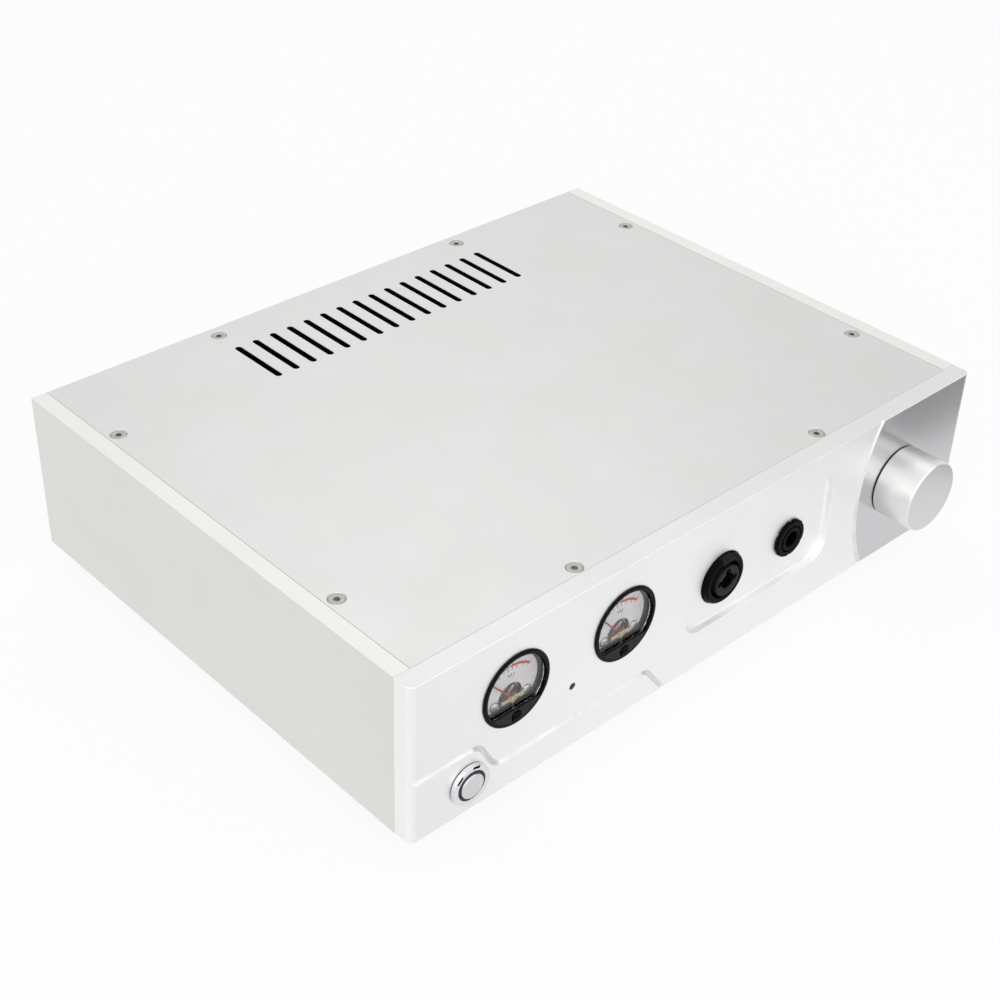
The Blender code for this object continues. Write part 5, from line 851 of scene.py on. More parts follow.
def build_top_cover():
    """Local heights are from the cover's top face."""
    cover = block((-146.92, -104.2, -3.0), (146.92, 120.8, 0.0), 0.2, 2)
    cuts = []
    for number in range(16):
        x = (number - 7.5) * 9.0
        rings = []
        for growth, height in ((0.3, 0.1), (0.0, -0.2), (0.0, -3.2)):
            half = 1.45 + growth
            outline = arc((x, 100.05), half, 0, 180, 12) + arc((x, 72.35), half, 180, 360, 12)
            rings.append([(px, py, height) for px, py in outline])
        cuts.append(loft(rings))
    for x, y in COVER_SCREWS:
        profile = [
            (0, -3.2), (1.8, -3.2), (1.8, -1.9), (3.5, -0.2), (3.5, -0.08), (3.7, 0.12), (0, 0.12)
        ]
        cuts.append(marked(lathe(profile, 64, centre=(x, y)), 1))
    cover = combined(cover, [merged(*cuts)])
    # Painted shade: the walls of the vent slots get black, standing in for the shade inside the
    # vents.
    for face in cover.faces:
        centre = face.calc_center_median()
        over_slots = 70.8 < centre.y < 101.6 and abs(centre.x) < 70
        if over_slots and -2.95 < centre.z < -0.22 and abs(face.normal.z) < 0.5:
            face.material_index = 2
    # The cover takes the darker case tone, painted shade on the top.
    place = upright(0, 0, CASE_TOP / MM)
    piece(
        "top_cover_fine", cover, [CASE_SHADED, GROOVE, BLACK_AND_VENT_SHADE], place, replaces="top_cover", weighted=True
    )


def build_cover_screws():
    """Countersunk screws with a hexagon socket and a fine thread."""
    profile = [(0, 0), (3.05, 0), (3.2, -0.12), (1.5, -1.75), (1.5, -2.4)]
    profile += thread(1.5, 0.22, -2.6, -8.6) + [(1.1, -9.0), (0, -9.0)]
    entry = lathe([(0, -0.25), (1.1, -0.25), (1.65, 0.12), (0, 0.12)], 48)
    screw = combined(lathe(profile, 64), [prism(hexagon(1.25), -1.3, 0.2), entry])
    height = CASE_TOP / MM - 0.2
    places = [upright(x, y, height, 37 * n) for n, (x, y) in enumerate(COVER_SCREWS, 1)]
    series("cover_screw", screw, SCREW, places, in_cad=True, sharp=40)


def pan_screw(radius, height, shank, length, slot=False):
    """A screw with a low round head that stands on local 0, and a hexagon socket or a slot."""
    head = [
        (0, height), (radius * 0.55, height), (radius * 0.9, height * 0.75), (radius, height * 0.3)
    ]
    profile = soften(head + [(radius, 0.0), (shank, 0.0), (shank, -0.5)], 0.2)
    profile += thread(shank, 0.2, -0.6, -length + 0.3) + [(shank * 0.7, -length), (0, -length)]
    if slot:
        tool = block(
            (-radius * 1.1, -radius * 0.17, height * 0.4),
            (radius * 1.1, radius * 0.17, height + 0.3)
        )
    else:
        tool = prism(hexagon(radius * 0.45), height * 0.3, height + 0.3)
    return combined(lathe(profile, 48), [tool])


def build_feet():
    profile = [(2.2, 9.7), (19, 9.7), (19, 8.2), (17.5, 0), (5.5, 0), (5.5, 5), (2.2, 5)]
    foot = lathe(soften(profile, 0.6, closed=True), 96, closed=True)
    foot = combined(foot, [lathe([(14.6, -0.2), (15.6, -0.2), (15.1, 0.6)], 96, closed=True)])
    middles = [in_mm(*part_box(f"foot_{number}"))[2] for number in range(1, 5)]
    series("foot", foot, RUBBER, [upright(x, y) for x, y, _ in middles], in_cad=True)
    bolts = [upside_down(x, y, 5.0, 25 * n) for n, (x, y, _) in enumerate(middles)]
    series("foot_bolt", pan_screw(3.6, 2.2, 1.9, 7.2), SCREW, bolts, sharp=40)


# Volume control and power button


def build_knob():
    profile = [(0, 17.8), (14.9, 17.8), (15.5, 17.2), (15.5, 0.6), (15.25, 0.35), (8.5, 0.35)]
    profile = soften(profile + [(8.5, 4.5), (3.3, 4.5), (3.3, 14), (0, 14)], 0.12)
    knob = lathe(profile, 192)
    # Painted shade: the knob's forward face gets the darker copy.
    for face in knob.faces:
        if face.normal.z > 0.9:
            face.material_index = 1
    place, body = on_front(*KNOB_PLACE), "volume_control"
    piece("volume_knob_fine", knob, [KNOB, KNOB_FACE_SHADED], place, body, "volume_knob", sharp=28)
    shaft = [
        (0, 13), (2.7, 13), (3, 12.7), (3, 3.2)
    ] + thread(3.0, 0.1, 3.1, -2.0) + [(3, -14.3), (0, -14.3)]
    bushing_nut = combined(prism(hexagon(7.0), 0.3, 2.5, 0.25), [pin(4.6, -1, 4)])
    piece("pot_shaft_fine", lathe(shaft, 48), STEEL, place, body, "pot_shaft")
    piece("pot_nut_fine", bushing_nut, STEEL, place, replaces="pot_nut")


def build_button():
    profile = [
        (0, -7.6), (5.4, -7.6), (5.4, 0.1), (6.3, 0.1), (6.3, 2), (8.3, 2), (8.5, 1.8), (8.5, 0.3)
    ]
    profile = soften(profile + [(7.7, 0.3), (7.7, -0.6)], 0.12)
    profile += thread(7.7, 0.25, -0.7, -23.4, 0.8) + [(7.3, -24), (0, -24)]
    body = lathe(profile, 128)
    cuts = []
    # Painted reflection: two dark inlaid marks on the flange stand in for dark reflections in its
    # polish.
    for angle in (75, 136):
        mark = block((-1.65, 7.1, 1.4), (1.65, 8.2, 2.4))
        cuts.append(marked(moved(mark, turn_z(angle - 90)), 1))
    body = combined(body, cuts)
    tabs = []
    for angle in range(45, 360, 90):
        tab = block((-1.4, 4.2, -30), (1.4, 4.8, -23.8), 0.12, 1)
        tabs.append(marked(moved(tab, turn_z(angle)), 2))
    place = on_front(*BUTTON_PLACE)
    piece(
        "power_button_body_fine", merged(body, *tabs), [BUTTON, INK_AND_PAINTED_REFLECTION, GOLD], place,
        replaces="power_button_body"
    )
    ring = lathe(
        soften([(5.2, 2.0), (6.2, 2.0), (6.2, 0.4), (5.2, 0.4)], 0.15, closed=True), 96, closed=True
    )
    piece("power_button_ring_fine", ring, RING, place, replaces="power_button_ring")
    cap = [(0, 2.52), (2.5, 2.56), (4.0, 2.66), (4.8, 2.7), (5.12, 2.4), (5.12, -4.8), (0, -4.8)]
    cap = lathe(soften(cap, 0.15), 96)
    piece("power_button_cap_fine", cap, BUTTON_CAP, place, "power_button", "power_button_cap")
    nut = combined(prism(hexagon(10.9), -11.3, -8.3, 0.4), [pin(7.9, -12, -7, steps=96)])
    piece("power_button_nut_fine", nut, STEEL, place, replaces="power_button_nut")
    lens = [
        (0, -0.02), (0.7, -0.08), (1.1, -0.3), (1.2, -0.6), (1.2, -8.3), (2.2, -8.3), (2.2, -9.5),
        (0, -9.5)
    ]
    piece(
        "indicator_lens_fine", lathe(lens, 48), RING, on_front(*LENS_PLACE),
        replaces="indicator_lens"
    )


# Meters

PIVOT_DROP = 5.5


def meter_case():
    profile = [
        (0, -22), (13.2, -22), (13.2, -1.6), (13.95, -1.6), (13.95, 0.8), (15.1, 0.8),
        (15.55, 0.65), (15.75, 0.42)
    ]
    profile += [(15.75, 0.3), (14.2, 0.3), (14.2, -24), (0, -24)]
    cup = lathe(soften(profile, 0.16), 144)
    angle = math.degrees(math.asin(8.9 / 14.65))
    apron = prism(arc((0, 0), 14.65, 180 + angle, 360 - angle, 40), -0.2, 0.8)
    apron = combined(
        apron,
        [lathe([(0, -0.5), (2.3, -0.5), (2.3, 0.6), (2.6, 1.0), (0, 1.0)], 64, centre=(0, -12.1))]
    )
    total = combined(cup, [marked(apron, 1)], "UNION")
    extras = []
    for side in (-1, 1):
        extras.append(marked(pin(1.3, -22.2, -4.1, (side * 7.7, -6.2), 32), 3))
        extras.append(marked(pin(1.2, -29, -23.8, (side * 7.0, 0), 32, 0.2), 2))
    for face in total.faces:
        if face.calc_center_median().xy.length < 13.3 and face.calc_center_median().z < -1.7:
            face.material_index = 3
    return merged(total, *extras)


def meter_window():
    angle = math.degrees(math.asin(9.5 / 13.65))
    return prism(arc((0, 0), 13.65, -angle, 180 + angle, 96), -1.3, -0.3, 0.12)


def from_pivot(degrees, reach=0.0):
    """A place at a reach from the pointer's pivot, in a direction."""
    turned = Matrix.Translation((0, -PIVOT_DROP, 0)) @ turn_z(degrees - 90)
    return turned @ Matrix.Translation((0, reach, 0))


def meter_dial():
    """The dial and its printed scales."""
    edge = math.degrees(math.asin(8.5 / 12.9))
    outline = arc((0, 0), 12.9, -edge, 180 + edge, 90)
    foot = math.degrees(math.asin(3.0 / 5.7))
    outline += arc((0, -PIVOT_DROP), 5.7, 180 + foot, -foot, 40)
    dial = prism(outline, -3.8, -3.3, 0.08, 1)
    low, high = -3.32, -3.27
    pivot = (0, -PIVOT_DROP)
    prints = [marked(band(13.6, 13.85, 90, 132, low, high, pivot), 1)]
    prints.append(marked(band(13.15, 14.15, 49, 90, low, high, pivot), 2))
    scale = [
        (132, "20"), (118, "10"), (106, "7"), (97, "5"), (88, "3"), (78, "0"), (63, "3"), (51, "+")
    ]
    for angle, figure in scale:
        ink = 2 if angle < 80 else 1
        mark = block((-0.09, 13.9, low), (0.09, 15.2, high))
        prints.append(marked(moved(mark, from_pivot(angle)), ink))
        words = text_mesh(figure, 1.7, low, high)
        prints.append(marked(moved(words, from_pivot(angle, 12.4)), ink))
    for number in range(1, 24):
        angle = 132 - number * 3.6
        mark = block((-0.05, 13.9, low), (0.05, 14.7, high))
        prints.append(marked(moved(mark, from_pivot(angle)), 2 if angle < 80 else 1))
    label = text_mesh("VU", 2.4, low, high)
    prints.append(marked(moved(label, Matrix.Translation((0, 4.0, 0))), 1))
    return merged(dial, *prints)


def meter_magnet():
    """The iron ring and core round the coil, with the front bridge and its pivot screw."""
    profile = [
        (0, -17.5), (4.5, -17.5), (4.5, -5), (5.8, -5), (5.8, -19.5), (2.5, -19.5), (2.5, -21.7),
        (0, -21.7)
    ]
    ring = lathe(soften(profile, 0.2), 96)
    core = pin(2.9, -11.2, -5.7, steps=64, edge=0.25)
    post = block((-0.7, -4.7, -9.7), (0.7, 4.7, -7.2), 0.1, 1)
    bar = [(-5.3, -0.8), (-2.2, -0.8), (-1.5, -1.35), (1.5, -1.35), (2.2, -0.8), (5.3, -0.8)]
    bar = prism(bar + [(-x, -y) for x, y in bar], -2.3, -1.8, 0.08, 1)
    legs = [
        block((min(s * 4.5, s * 5.3), -0.8, -5.1), (max(s * 4.5, s * 5.3), 0.8, -2.05), 0.08, 1)
        for s in (-1, 1)
    ]
    heads = [pin(0.55, -1.9, -1.55, (s * 4.6, 0), 24, 0.12) for s in (-1, 1)]
    nut = prism(hexagon(1.05), -1.9, -1.5, 0.1, 1)
    pivot = combined(
        pin(0.5, -2.4, -1.38, steps=24, edge=0.1), [block((-0.6, -0.09, -1.55), (0.6, 0.09, -1.2))]
    )
    return merged(
        ring, core, post, *(marked(part, 1) for part in [bar, *legs, nut, pivot]),
        *(marked(h, 2) for h in heads)
    )


def meter_pointer():
    """The pointer with its counterweight, the coil's frame and winding, and the staffs."""
    outline = [(0.5, -3.2), (0.34, 4.0), (0.2, 15.5), (-0.2, 15.5), (-0.34, 4.0), (-0.5, -3.2)]
    needle = prism(outline, -3.0, -2.6, 0.06, 1)
    hub = pin(1.2, -3.0, -2.6, steps=48, edge=0.08)
    weight = merged(
        block((-0.75, -3.2, -3.05), (0.75, -2.3, -2.55), 0.08, 1),
        pin(0.4, -3.05, -2.55, (0, -2.0), 24)
    )
    coil = block((-3.9, -0.8, -12.2), (3.9, 0.8, -4.7), 0.12, 2)
    coil = combined(coil, [block((-3.2, -1.0, -11.5), (3.2, 1.0, -5.4))])
    turns = []
    for number in range(7):
        y = -0.66 + number * 0.22
        wire = []
        for grow, side in ((0.0, -0.09), (0.09, 0.0), (0.0, 0.09)):
            loop = rounded_outline(7.72 + 2 * grow, 7.42 + 2 * grow, 0.35, 3)
            wire.append([(px, y + side, pz - 8.45) for px, pz in loop])
        turns.append(loft(wire, closed=True))
    front = pin(0.5, -4.8, -2.8, steps=24)
    tip = lathe([(0, -2.28), (0.12, -2.35), (0.35, -2.65), (0.35, -2.9), (0, -2.9)], 16)
    rear = lathe([(0, -17.2), (0.12, -17.1), (0.5, -16.6), (0.5, -12.0), (0, -12.0)], 24)
    steel = [marked(part, 2) for part in (front, tip, rear)]
    return merged(
        needle, hub, marked(weight, 2), marked(coil, 2), *(marked(turn, 1) for turn in turns),
        *steel
    )


def hairspring():
    """A flat spiral from the staff to the bridge's tab."""
    turns, steps = 3.5, 168
    rings = []
    for step in range(steps + 1):
        share = step / steps
        angle = math.tau * turns * share
        radius = 0.62 + 1.75 * share
        ring = []
        for across, up in ((-0.03, -0.05), (0.03, -0.05), (0.03, 0.05), (-0.03, 0.05)):
            ring.append(
                (
                    (radius + across) * math.cos(angle), (radius + across) * math.sin(angle),
                    -2.45 + up
                )
            )
        rings.append(ring)
    tab = block((-2.75, -0.3, -2.5), (-2.2, 0.3, -2.25), 0.05, 1)
    return merged(loft(rings), tab)


def zero_lever():
    """The lever from the pivot's abutment down to the zero screw's stem."""
    arm = [
        (1.2, -0.6), (0.35, -1.6), (0.35, -4.2), (1.45, -5.0), (1.45, -7.4), (1.05, -7.4),
        (1.05, -5.3)
    ]
    arm += [(-x, y) for x, y in reversed(arm)]
    lever = prism(arm, -1.76, -1.58, 0.04, 1)
    eye = combined(pin(1.5, -1.76, -1.58, steps=48), [pin(1.12, -2, -1, steps=48)])
    return merged(lever, eye)


def zero_screw():
    profile = [(0, 1.1), (1.75, 1.1), (2.0, 0.85), (2.0, -0.3), (0.9, -0.3), (0.9, -2.6), (0, -2.6)]
    return combined(lathe(soften(profile, 0.1), 64), [block((-2.3, -0.3, 0.5), (2.3, 0.3, 1.5))])


def build_meters():
    screw = pan_screw(2.0, 0.9, 0.7, 3.0, slot=True)
    shapes = {
        "case": (meter_case(), [GLOSS_BLACK, APRON, STEEL, BLACK_AND_VENT_SHADE], 0, 0),
        "window": (meter_window(), [WINDOW], 0, 0),
        "dial": (meter_dial(), [DIAL, INK_AND_PAINTED_REFLECTION, RED_INK], 0, 0),
        "magnet": (meter_magnet(), [MAGNET, BRASS, STEEL], -PIVOT_DROP, 0),
        "pointer": (meter_pointer(), [NEEDLE, COPPER, STEEL], -PIVOT_DROP, 42),
        "zero_screw": (zero_screw(), [BLACK_AND_VENT_SHADE], -12.1, 0),
        "hairspring": (hairspring(), [BRASS], -PIVOT_DROP, 0),
        "zero_lever": (zero_lever(), [BRASS], -PIVOT_DROP, 0),
        "dial_screw_1": (screw.copy(), [STEEL], 0, 0),
        "dial_screw_2": (screw, [STEEL], 0, 0),
    }
    for part, (mesh, finishes, rise, turn) in shapes.items():
        first = None
        for side, (x, y) in METER_PLACES.items():
            place = on_front(x, y + rise, turn)
            if part.startswith("dial_screw"):
                hand = -1 if part.endswith("1") else 1
                place = on_front(x + hand * 7.7, y - 6.2, 30 * hand)
                place = place @ Matrix.Translation((0, 0, -3.27 * MM))
            body = {
                "pointer": f"{side}_movement", "zero_screw": f"{side}_zero_screw"
            }.get(part, "case")
            name = f"meter_{side}_{part}"
            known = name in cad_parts
            replaced = name if known else ()
            name += "_fine" if known else ""
            if first is None:
                sharp = 20 if part in ("window", "dial") else 35
                first = piece(name, mesh, finishes, place, body, replaced, sharp)
            else:
                copy_of(first, name, place, body, replaced)


# Sockets


def contact_leaf(angle, depth):
    """A spring contact that bows into a jack's bore."""
    leaf = [
        (3.5, depth + 2.6), (2.9, depth + 1.0), (2.65, depth), (2.9, depth - 1.0),
        (3.5, depth - 2.6)
    ]
    strip = leaf + [(r + 0.25, z) for r, z in reversed(leaf)]
    stand = turn_z(angle) @ Matrix.Rotation(math.radians(90), 4, "X")
    return moved(prism(strip, -0.9, 0.9, 0.05, 1), stand)


def build_combo_socket():
    place = on_front(*COMBO_PLACE)
    profile = [
        (0, -28.8), (3.35, -28.8), (3.35, 0.2), (6.7, 0.2), (6.7, -11.8), (8.05, -11.8),
        (8.05, -1.1)
    ]
    profile += [
        (8.45, -0.7), (10.15, -0.7), (10.95, -1.5), (10.95, -10.5), (10.4, -10.5), (10.4, -32),
        (0, -32)
    ]
    body = lathe(soften(profile, 0.25), 128)
    cuts = []
    for angle in (0, 90, 180):
        where = polar(4.2, angle)
        cuts.append(
            lathe([(0, -10.8), (1.3, -10.8), (1.3, 0.05), (1.55, 0.4), (0, 0.4)], 48, centre=where)
        )
    cuts.append(block((-3.55, 7.55, -6.6), (3.55, 12.5, 1.0)))
    body = combined(body, cuts)
    for face in body.faces:
        centre = face.calc_center_median()
        if centre.xy.length < 6.75 and centre.z > -12:
            face.material_index = 1
    plate = prism(rounded_outline(26, 31, 2.6), -10.5, -8.3, 0.25)
    plate = combined(plate, [pin(10.6, -12, -7, steps=96)])
    contacts = []
    for angle in (0, 90, 180):
        where = polar(4.2, angle)
        tube = [(0.62, -10.8), (1.0, -10.8), (1.0, -4.6), (0.85, -4.4), (0.62, -4.6)]
        contacts.append(marked(lathe(tube, 32, closed=True, centre=where), 2))
    for angle, depth in ((225, -9.0), (315, -16.0)):
        contacts.append(marked(contact_leaf(angle, depth), 2))
    terminals = []
    for number in range(6):
        x = (number - 2.5) * 2.8
        terminals.append(marked(block((x - 0.6, -7.2, -36), (x + 0.6, -6.8, -31.9), 0.1, 1), 2))
    total = merged(body, plate, *contacts, *terminals)
    piece("combo_socket_fine", total, [BLACK_AND_VENT_SHADE, INSERT, GOLD], place, replaces="combo_socket_body")
    tab = block((-3.25, 7.85, -5.1), (3.25, 10.55, -0.1), 0.6, 3)
    ribs = [block((-2.4, 8.3 + n * 0.6, -0.22), (2.4, 8.55 + n * 0.6, 0.5), 0.0) for n in range(4)]
    tab = combined(tab, ribs)
    piece("combo_release_tab_fine", tab, INSERT, place, "release_tab", "combo_release_tab")


def build_phone_jack():
    place = on_front(*JACK_PLACE)
    body = block((-8.25, -8.25, -34.3), (8.25, 8.25, -8.3), 0.5, 2)
    bushing = [(0, -8.6), (5.6, -8.6)] + [
        (r, z) for r, z in reversed(thread(5.6, 0.28, -1.6, -8.2, 0.75))
    ]
    bushing = lathe(bushing + [(5.25, -1.25), (5.0, -1.0), (0, -1.0)], 96)
    bore = lathe([(0, -30.3), (3.35, -30.3), (3.35, -1.45), (3.9, -0.9), (0, -0.9)], 64)
    body = combined(combined(body, [bushing], "UNION"), [bore])
    contacts = []
    for angle, depth in ((60, -12.0), (180, -20.0), (300, -26.0)):
        contacts.append(marked(contact_leaf(angle, depth), 1))
    piece(
        "phone_jack_fine", merged(body, *contacts), [BLACK_AND_VENT_SHADE, GOLD], place, replaces="phone_jack_body"
    )
    nut = lathe(
        soften([(5.9, -2.7), (8.3, -2.7), (8.3, -1.8), (7.8, -1.3), (5.9, -1.3)], 0.1, closed=True),
        120, closed=True
    )
    notches = []
    for number in range(6):
        notches.append(pin(0.9, -3.5, -0.5, polar(8.3, number * 60 + 30), 24))
    piece("phone_jack_nut_fine", combined(nut, notches), BLACK_AND_VENT_SHADE, place, replaces="phone_jack_nut")


def build_inlet():
    place = on_rear(56, 38)
    flange = prism(rounded_outline(50, 34, 4), 0.3, 2.8, 0.4)
    body = block((-14.25, -15.5, -26), (14.25, 15.5, 5.3), 0.6, 2)
    inlet = combined(flange, [body], "UNION")
    cavity = [
        (-12.2, -2.75), (12.2, -2.75), (12.2, 9.25), (7.7, 13.75), (-7.7, 13.75), (-12.2, 9.25)
    ]
    cuts = [prism(cavity, -11.2, 5.8), block((-11.3, -13.55, -16.0), (11.3, -5.45, 5.8))]
    for x in (-20, 20):
        cuts.append(
            lathe([(0, -1), (1.7, -1), (1.7, 1.6), (3.2, 2.85), (0, 2.85)], 48, centre=(x, 0))
        )
    inlet = combined(inlet, cuts)
    blades = []
    for x, y in ((-7, 4.5), (0, 8.5), (7, 4.5)):
        blades.append(marked(block((x - 1, y - 2, -11.4), (x + 1, y + 2, 2.3), 0.3, 2), 1))
        blades.append(marked(block((x - 3.2, y - 0.4, -33), (x + 3.2, y + 0.4, -25.9), 0.2, 1), 1))
    piece("mains_inlet_fine", merged(inlet, *blades), [BLACK_AND_VENT_SHADE, STEEL], place, replaces="mains_inlet")
    for number, x in enumerate((36, 76), 1):
        screw = [
            (0, 2.75), (2.9, 2.75), (3.05, 2.6), (1.5, 1.4)
        ] + thread(1.5, 0.2, 1.2, -6.5) + [(1.1, -7), (0, -7)]
        screw = combined(
            lathe(screw, 48),
            [block((-2.2, -0.3, 1.9), (2.2, 0.3, 3)), block((-0.3, -2.2, 1.9), (0.3, 2.2, 3))]
        )
        piece(f"inlet_screw_{number}", screw, SCREW, on_rear(x, 38, 20 * number), sharp=40)
    drawer = block((-11, -13.25, -15.7), (11, -5.75, 5.5), 0.3, 1)
    lip = block((-11.9, -14.15, 5.6), (11.9, -5.3, 6.8), 0.4, 2)
    bed = block((-9, -9.5, -13.7), (9, -5, 0.8))
    notch = block((-4, -14.5, 5.9), (4, -13.2, 7.5))
    along = Matrix.Rotation(math.radians(90), 4, "Y")
    lie = Matrix.Translation((0, -9.0, -6.3)) @ along
    tube = moved(pin(2.4, -9.5, 9.5, steps=32, edge=0.1), lie)
    ends = []
    for side in (-1, 1):
        lie = Matrix.Translation((side * 7.4, -9.0, -6.3)) @ along
        ends.append(marked(moved(pin(2.6, -2.2, 2.2, steps=32, edge=0.2), lie), 2))
    drawer = combined(merged(drawer, lip), [bed, notch])
    drawer = merged(drawer, marked(tube, 1), *ends)
    piece(
        "fuse_drawer_fine", drawer, [BLACK_AND_VENT_SHADE, WHITE_PLASTIC, STEEL], place, "fuse_holder",
        "fuse_drawer"
    )


def build_rca_sockets():
    profile = [
        (0, 1), (0.95, 1), (0.95, 7.4), (1.6, 7.4), (1.6, 1), (2.9, 1), (3.1, 9.6), (3.25, 10),
        (4.0, 10)
    ]
    profile = soften(
        profile + [(4.15, 9.8), (4.15, 2.6), (6.6, 2.6), (6.6, 0.3), (3.8, 0.3), (3.8, -0.4)], 0.12
    )
    profile += thread(3.8, 0.25, -0.5, -9.5, 0.7) + [(3.4, -10), (0, -10)]
    socket = lathe(profile, 64)
    collar = lathe(
        soften([(4.25, 2.62), (6.2, 2.62), (6.2, 3.5), (4.25, 3.5)], 0.25, closed=True), 64,
        closed=True
    )
    nut = combined(prism(hexagon(6.2), -5.6, -3.3, 0.3), [pin(3.7, -7, -2)])
    places, finishes = [], []
    for number in range(1, 5):
        x, _, z = in_mm(*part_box(f"rca_socket_{number}"))[2]
        across = x - CASE_LEFT / MM
        places.append(on_rear(across, z - CASE_UNDERSIDE / MM))
        finishes.append(RED_PLASTIC if across > 248 else WHITE_PLASTIC)
    series("rca_socket", socket, GOLD, places, in_cad=True)
    series("rca_nut", nut, GOLD, places)
    for number, (place, finish) in enumerate(zip(places, finishes), 1):
        piece(f"rca_collar_{number}", collar.copy(), finish, place)
    collar.free()


REAR_SCREWS = [(-146.25, 20.55), (146.25, 20.55), (-146.25, 69.75), (146.25, 69.75)]


def build_inside():
    """Windings, tapes, capacitor tops and the screws that hold the rear panel."""
    low, high, (x, y, _) = in_mm(*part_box("transformer_core"))
    base, top = low[2], high[2]
    profile = []
    for radius, height, start in (
        (20, top - 7, 180), (36, top - 7, 90), (36, base + 7, 0), (20, base + 7, -90)
    ):
        profile += arc((radius, height), 7.0, start, start - 90, 6)
    rings = []
    for step in range(216):
        angle = math.tau * step / 216
        swell = (0.0, -0.35, -0.12)[step % 3]
        ring = []
        for radius, height in profile:
            inwards = Vector((28 - radius, (top + base) / 2 - height)).normalized() * -swell
            reach = radius + inwards.x
            ring.append((reach * math.cos(angle), reach * math.sin(angle), height + inwards.y))
        rings.append(ring)
    core = loft(rings, closed=True)
    piece("transformer_core_fine", core, TAPE, upright(x, y), replaces="transformer_core", sharp=60)
    for number in (1, 2):
        name = f"filter_capacitor_{number}"
        low, high, (x, y, _) = in_mm(*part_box(name))
        radius, height = (high[0] - low[0]) / 2, high[2] - low[2]
        profile = [
            (0, 0), (radius - 0.5, 0), (radius, 0.5), (radius, 3.2), (radius - 0.7, 3.8),
            (radius - 0.7, 4.6)
        ]
        profile += [(radius, 5.2), (radius, height - 0.9), (radius - 0.9, height)]
        can = lathe(
            soften(
                profile + [
                    (radius - 1.6, height), (radius - 1.6, height - 0.35), (0, height - 0.35)
                ],
                0.3
            ),
            96
        )
        for face in can.faces:
            centre = face.calc_center_median()
            if centre.z > height - 0.5 and centre.xy.length < radius - 1.6:
                face.material_index = 1
        scores = [
            moved(
                block((-radius * 0.6, -0.3, height - 0.6), (radius * 0.6, 0.3, height)), turn_z(a)
            )
            for a in (0, 90)
        ]
        can = combined(can, scores)
        piece(name + "_fine", can, [SLEEVE, CAN], upright(x, y, low[2]), replaces=name)
    places = []
    for number, (x, z) in enumerate(REAR_SCREWS, 1):
        seat = on_rear(x - CASE_LEFT / MM, z - CASE_UNDERSIDE / MM, 23 * number)
        places.append(seat @ Matrix.Translation((0, 0, 0.05 * MM)))
    series("rear_screw", pan_screw(3.0, 1.7, 1.6, 9.0), SCREW, places, sharp=40)


# Light


def area_light(name, location, target, size, power):
    """A square lamp that the camera doesn't see."""
    data = bpy.data.lights.new(name, "AREA")
    data.shape = "SQUARE"
    data.size = size
    data.energy = power
    item = bpy.data.objects.new(name, data)
    bpy.context.scene.collection.objects.link(item)
    item.location = location
    item.rotation_euler = (Vector(target) - Vector(location)).to_track_quat("-Z", "Y").to_euler()
    item.visible_camera = False


def flat_square(name, half):
    mesh = bpy.data.meshes.new(name)
    bm = bmesh.new()
    bmesh.ops.create_grid(bm, x_segments=1, y_segments=1, size=half)
    bm.to_mesh(mesh)
    bm.free()
    item = bpy.data.objects.new(name, mesh)
    bpy.context.scene.collection.objects.link(item)
    return item


def shown_as_white(tree):
    """1 for rays from the camera, and for mirrored and refracted ones."""
    path = tree.nodes.new("ShaderNodeLightPath")
    total = path.outputs["Is Camera Ray"]
    for name in ("Is Glossy Ray", "Is Transmission Ray"):
        either = tree.nodes.new("ShaderNodeMath")
        either.operation = "MAXIMUM"
        tree.links.new(total, either.inputs[0])
        tree.links.new(path.outputs[name], either.inputs[1])
        total = either.outputs[0]
    return total


def dark_reflection_card(name, half, place, facing, tone):
    """A card that only polished metal sees: a painted dark reflection, which casts no shade."""
    card = flat_square(name, half)
    card.location = place
    card.rotation_euler = (Vector(facing) - Vector(place)).to_track_quat("Z", "Y").to_euler()
    matt = bpy.data.materials.new(name)
    matt.use_nodes = True
    shader = matt.node_tree.nodes["Principled BSDF"]
    shader.inputs["Base Color"].default_value = (tone, tone, tone, 1.0)
    shader.inputs["Roughness"].default_value = 1.0
    card.data.materials.append(matt)
    for ray in ("camera", "diffuse", "shadow", "transmission"):
        setattr(card, f"visible_{ray}", False)
    return card


def mixed_output(tree, factor, first, second, kind):
    """Mixes two shaders by a factor, into an output node."""
    mix = tree.nodes.new("ShaderNodeMixShader")
    for socket, source in zip(mix.inputs, (factor, first.outputs[0], second.outputs[0])):
        tree.links.new(source, socket)
    tree.links.new(mix.outputs[0], tree.nodes.new(kind).inputs[0])


SOFT_STRENGTH = 0.75
FLOOR_GLOW_SHARE = 0.88


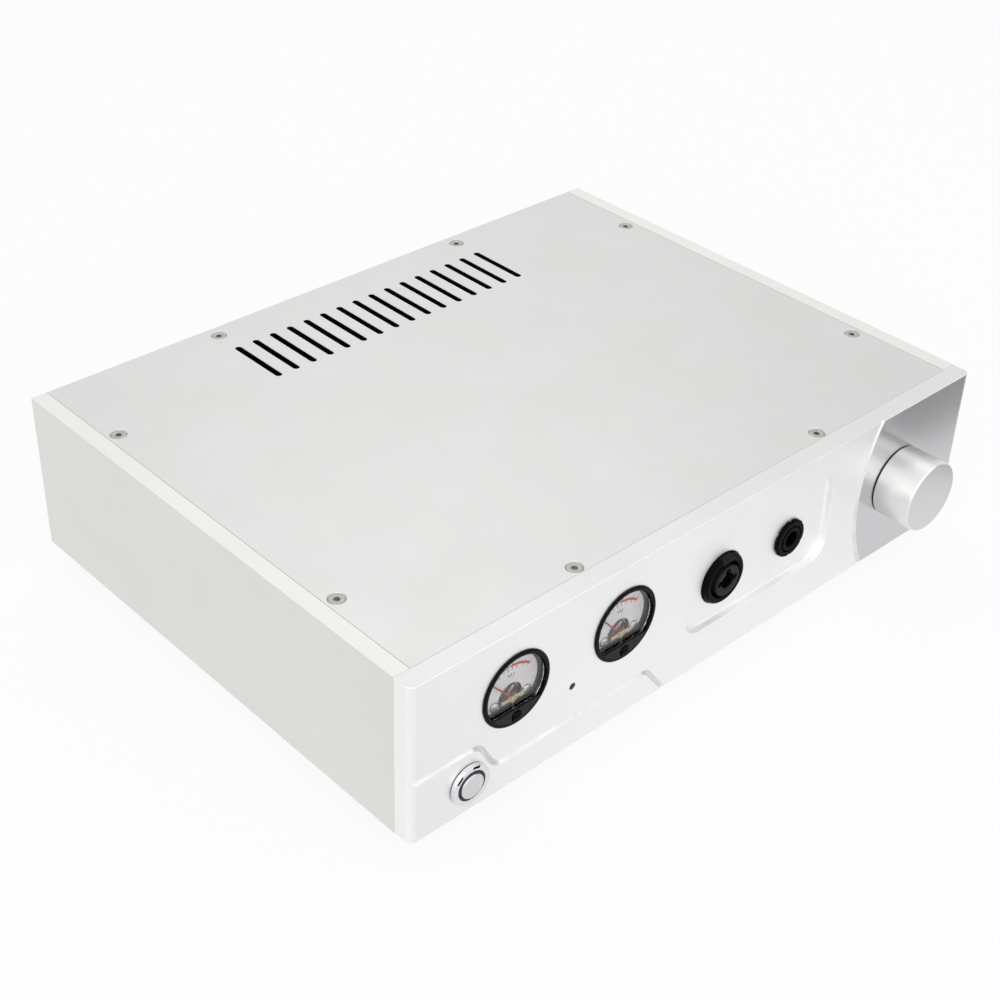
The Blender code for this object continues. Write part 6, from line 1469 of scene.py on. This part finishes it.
def studio():
    world = bpy.data.worlds.new("studio")
    bpy.context.scene.world = world
    world.use_nodes = True
    tree = world.node_tree
    tree.nodes.clear()
    shades = []
    for strength in (SOFT_STRENGTH, 1.0):
        shade = tree.nodes.new("ShaderNodeBackground")
        shade.inputs["Color"].default_value = (1.0, 1.0, 1.0, 1.0)
        shade.inputs["Strength"].default_value = strength
        shades.append(shade)
    mixed_output(tree, shown_as_white(tree), *shades, "ShaderNodeOutputWorld")

    floor = flat_square("floor", 4.0)
    material = bpy.data.materials.new("floor")
    material.use_nodes = True
    tree = material.node_tree
    tree.nodes.clear()
    lit = tree.nodes.new("ShaderNodeBsdfDiffuse")
    lit.inputs["Color"].default_value = (0.92, 0.92, 0.92, 1.0)
    glow = tree.nodes.new("ShaderNodeEmission")
    share = tree.nodes.new("ShaderNodeMath")
    share.operation = "MULTIPLY"
    share.inputs[1].default_value = FLOOR_GLOW_SHARE
    tree.links.new(shown_as_white(tree), share.inputs[0])
    mixed_output(tree, share.outputs[0], lit, glow, "ShaderNodeOutputMaterial")
    floor.data.materials.append(material)

    area_light("key_light", (-1.35, -1.45, 1.35), (0.0, 0.0, 0.05), 2.0, 11.0)
    area_light("ceiling_light", (0.66, 0.84, 1.34), (0.0, 0.0, 0.08), 0.8, 1.3)
    area_light("front_light", (0.10, -1.7, 0.30), (0.0, 0.0, 0.05), 1.4, 3.5)
    area_light("left_light", (-1.6, -0.4, 0.40), (0.0, 0.0, 0.05), 1.0, 3.0)
    area_light("groove_light", (0.62, -0.80, 0.78), (-0.05, -0.11, 0.04), 0.45, 0.6)

    # Painted reflections: a darker patch of floor and a black card, seen in polished metal alone.
    painted_reflection_cards = [
        dark_reflection_card("floor_reflection_card", 0.26, (0.46, -0.42, 0.002), (0.46, -0.42, 1.0), 0.42),
        dark_reflection_card("side_reflection_card", 0.15, (0.57, -0.50, 0.16), (0.11, -0.14, 0.05), 0.03),
    ]


camera()
studio()

build_front_panel()
build_top_cover()
build_cover_screws()
build_feet()
build_knob()
build_button()
build_meters()
build_combo_socket()
build_phone_jack()
build_inlet()
build_rca_sockets()
build_inside()

# Painted light and shade: the side panels get the middle tone, and the bottom cover and rear panel
# get the darker tone.
paint(SIDE_HALF_SHADED, "left_side_panel", "right_side_panel")
paint(CASE_SHADED, "bottom_cover", "rear_panel")
round_edges(0.3, "left_side_panel", "right_side_panel", "rear_panel", "bottom_cover")
paint(SINK, "heat_sink_1", "heat_sink_2")
paint(STEEL, "pot_body", "transformer_clamp", "transformer_bolt")
paint(BOARD, "main_board")
round_edges(0.15, "pot_body", "heat_sink_1", "heat_sink_2", "transformer_bolt")

bpy.context.scene.view_settings.view_transform = "Standard"
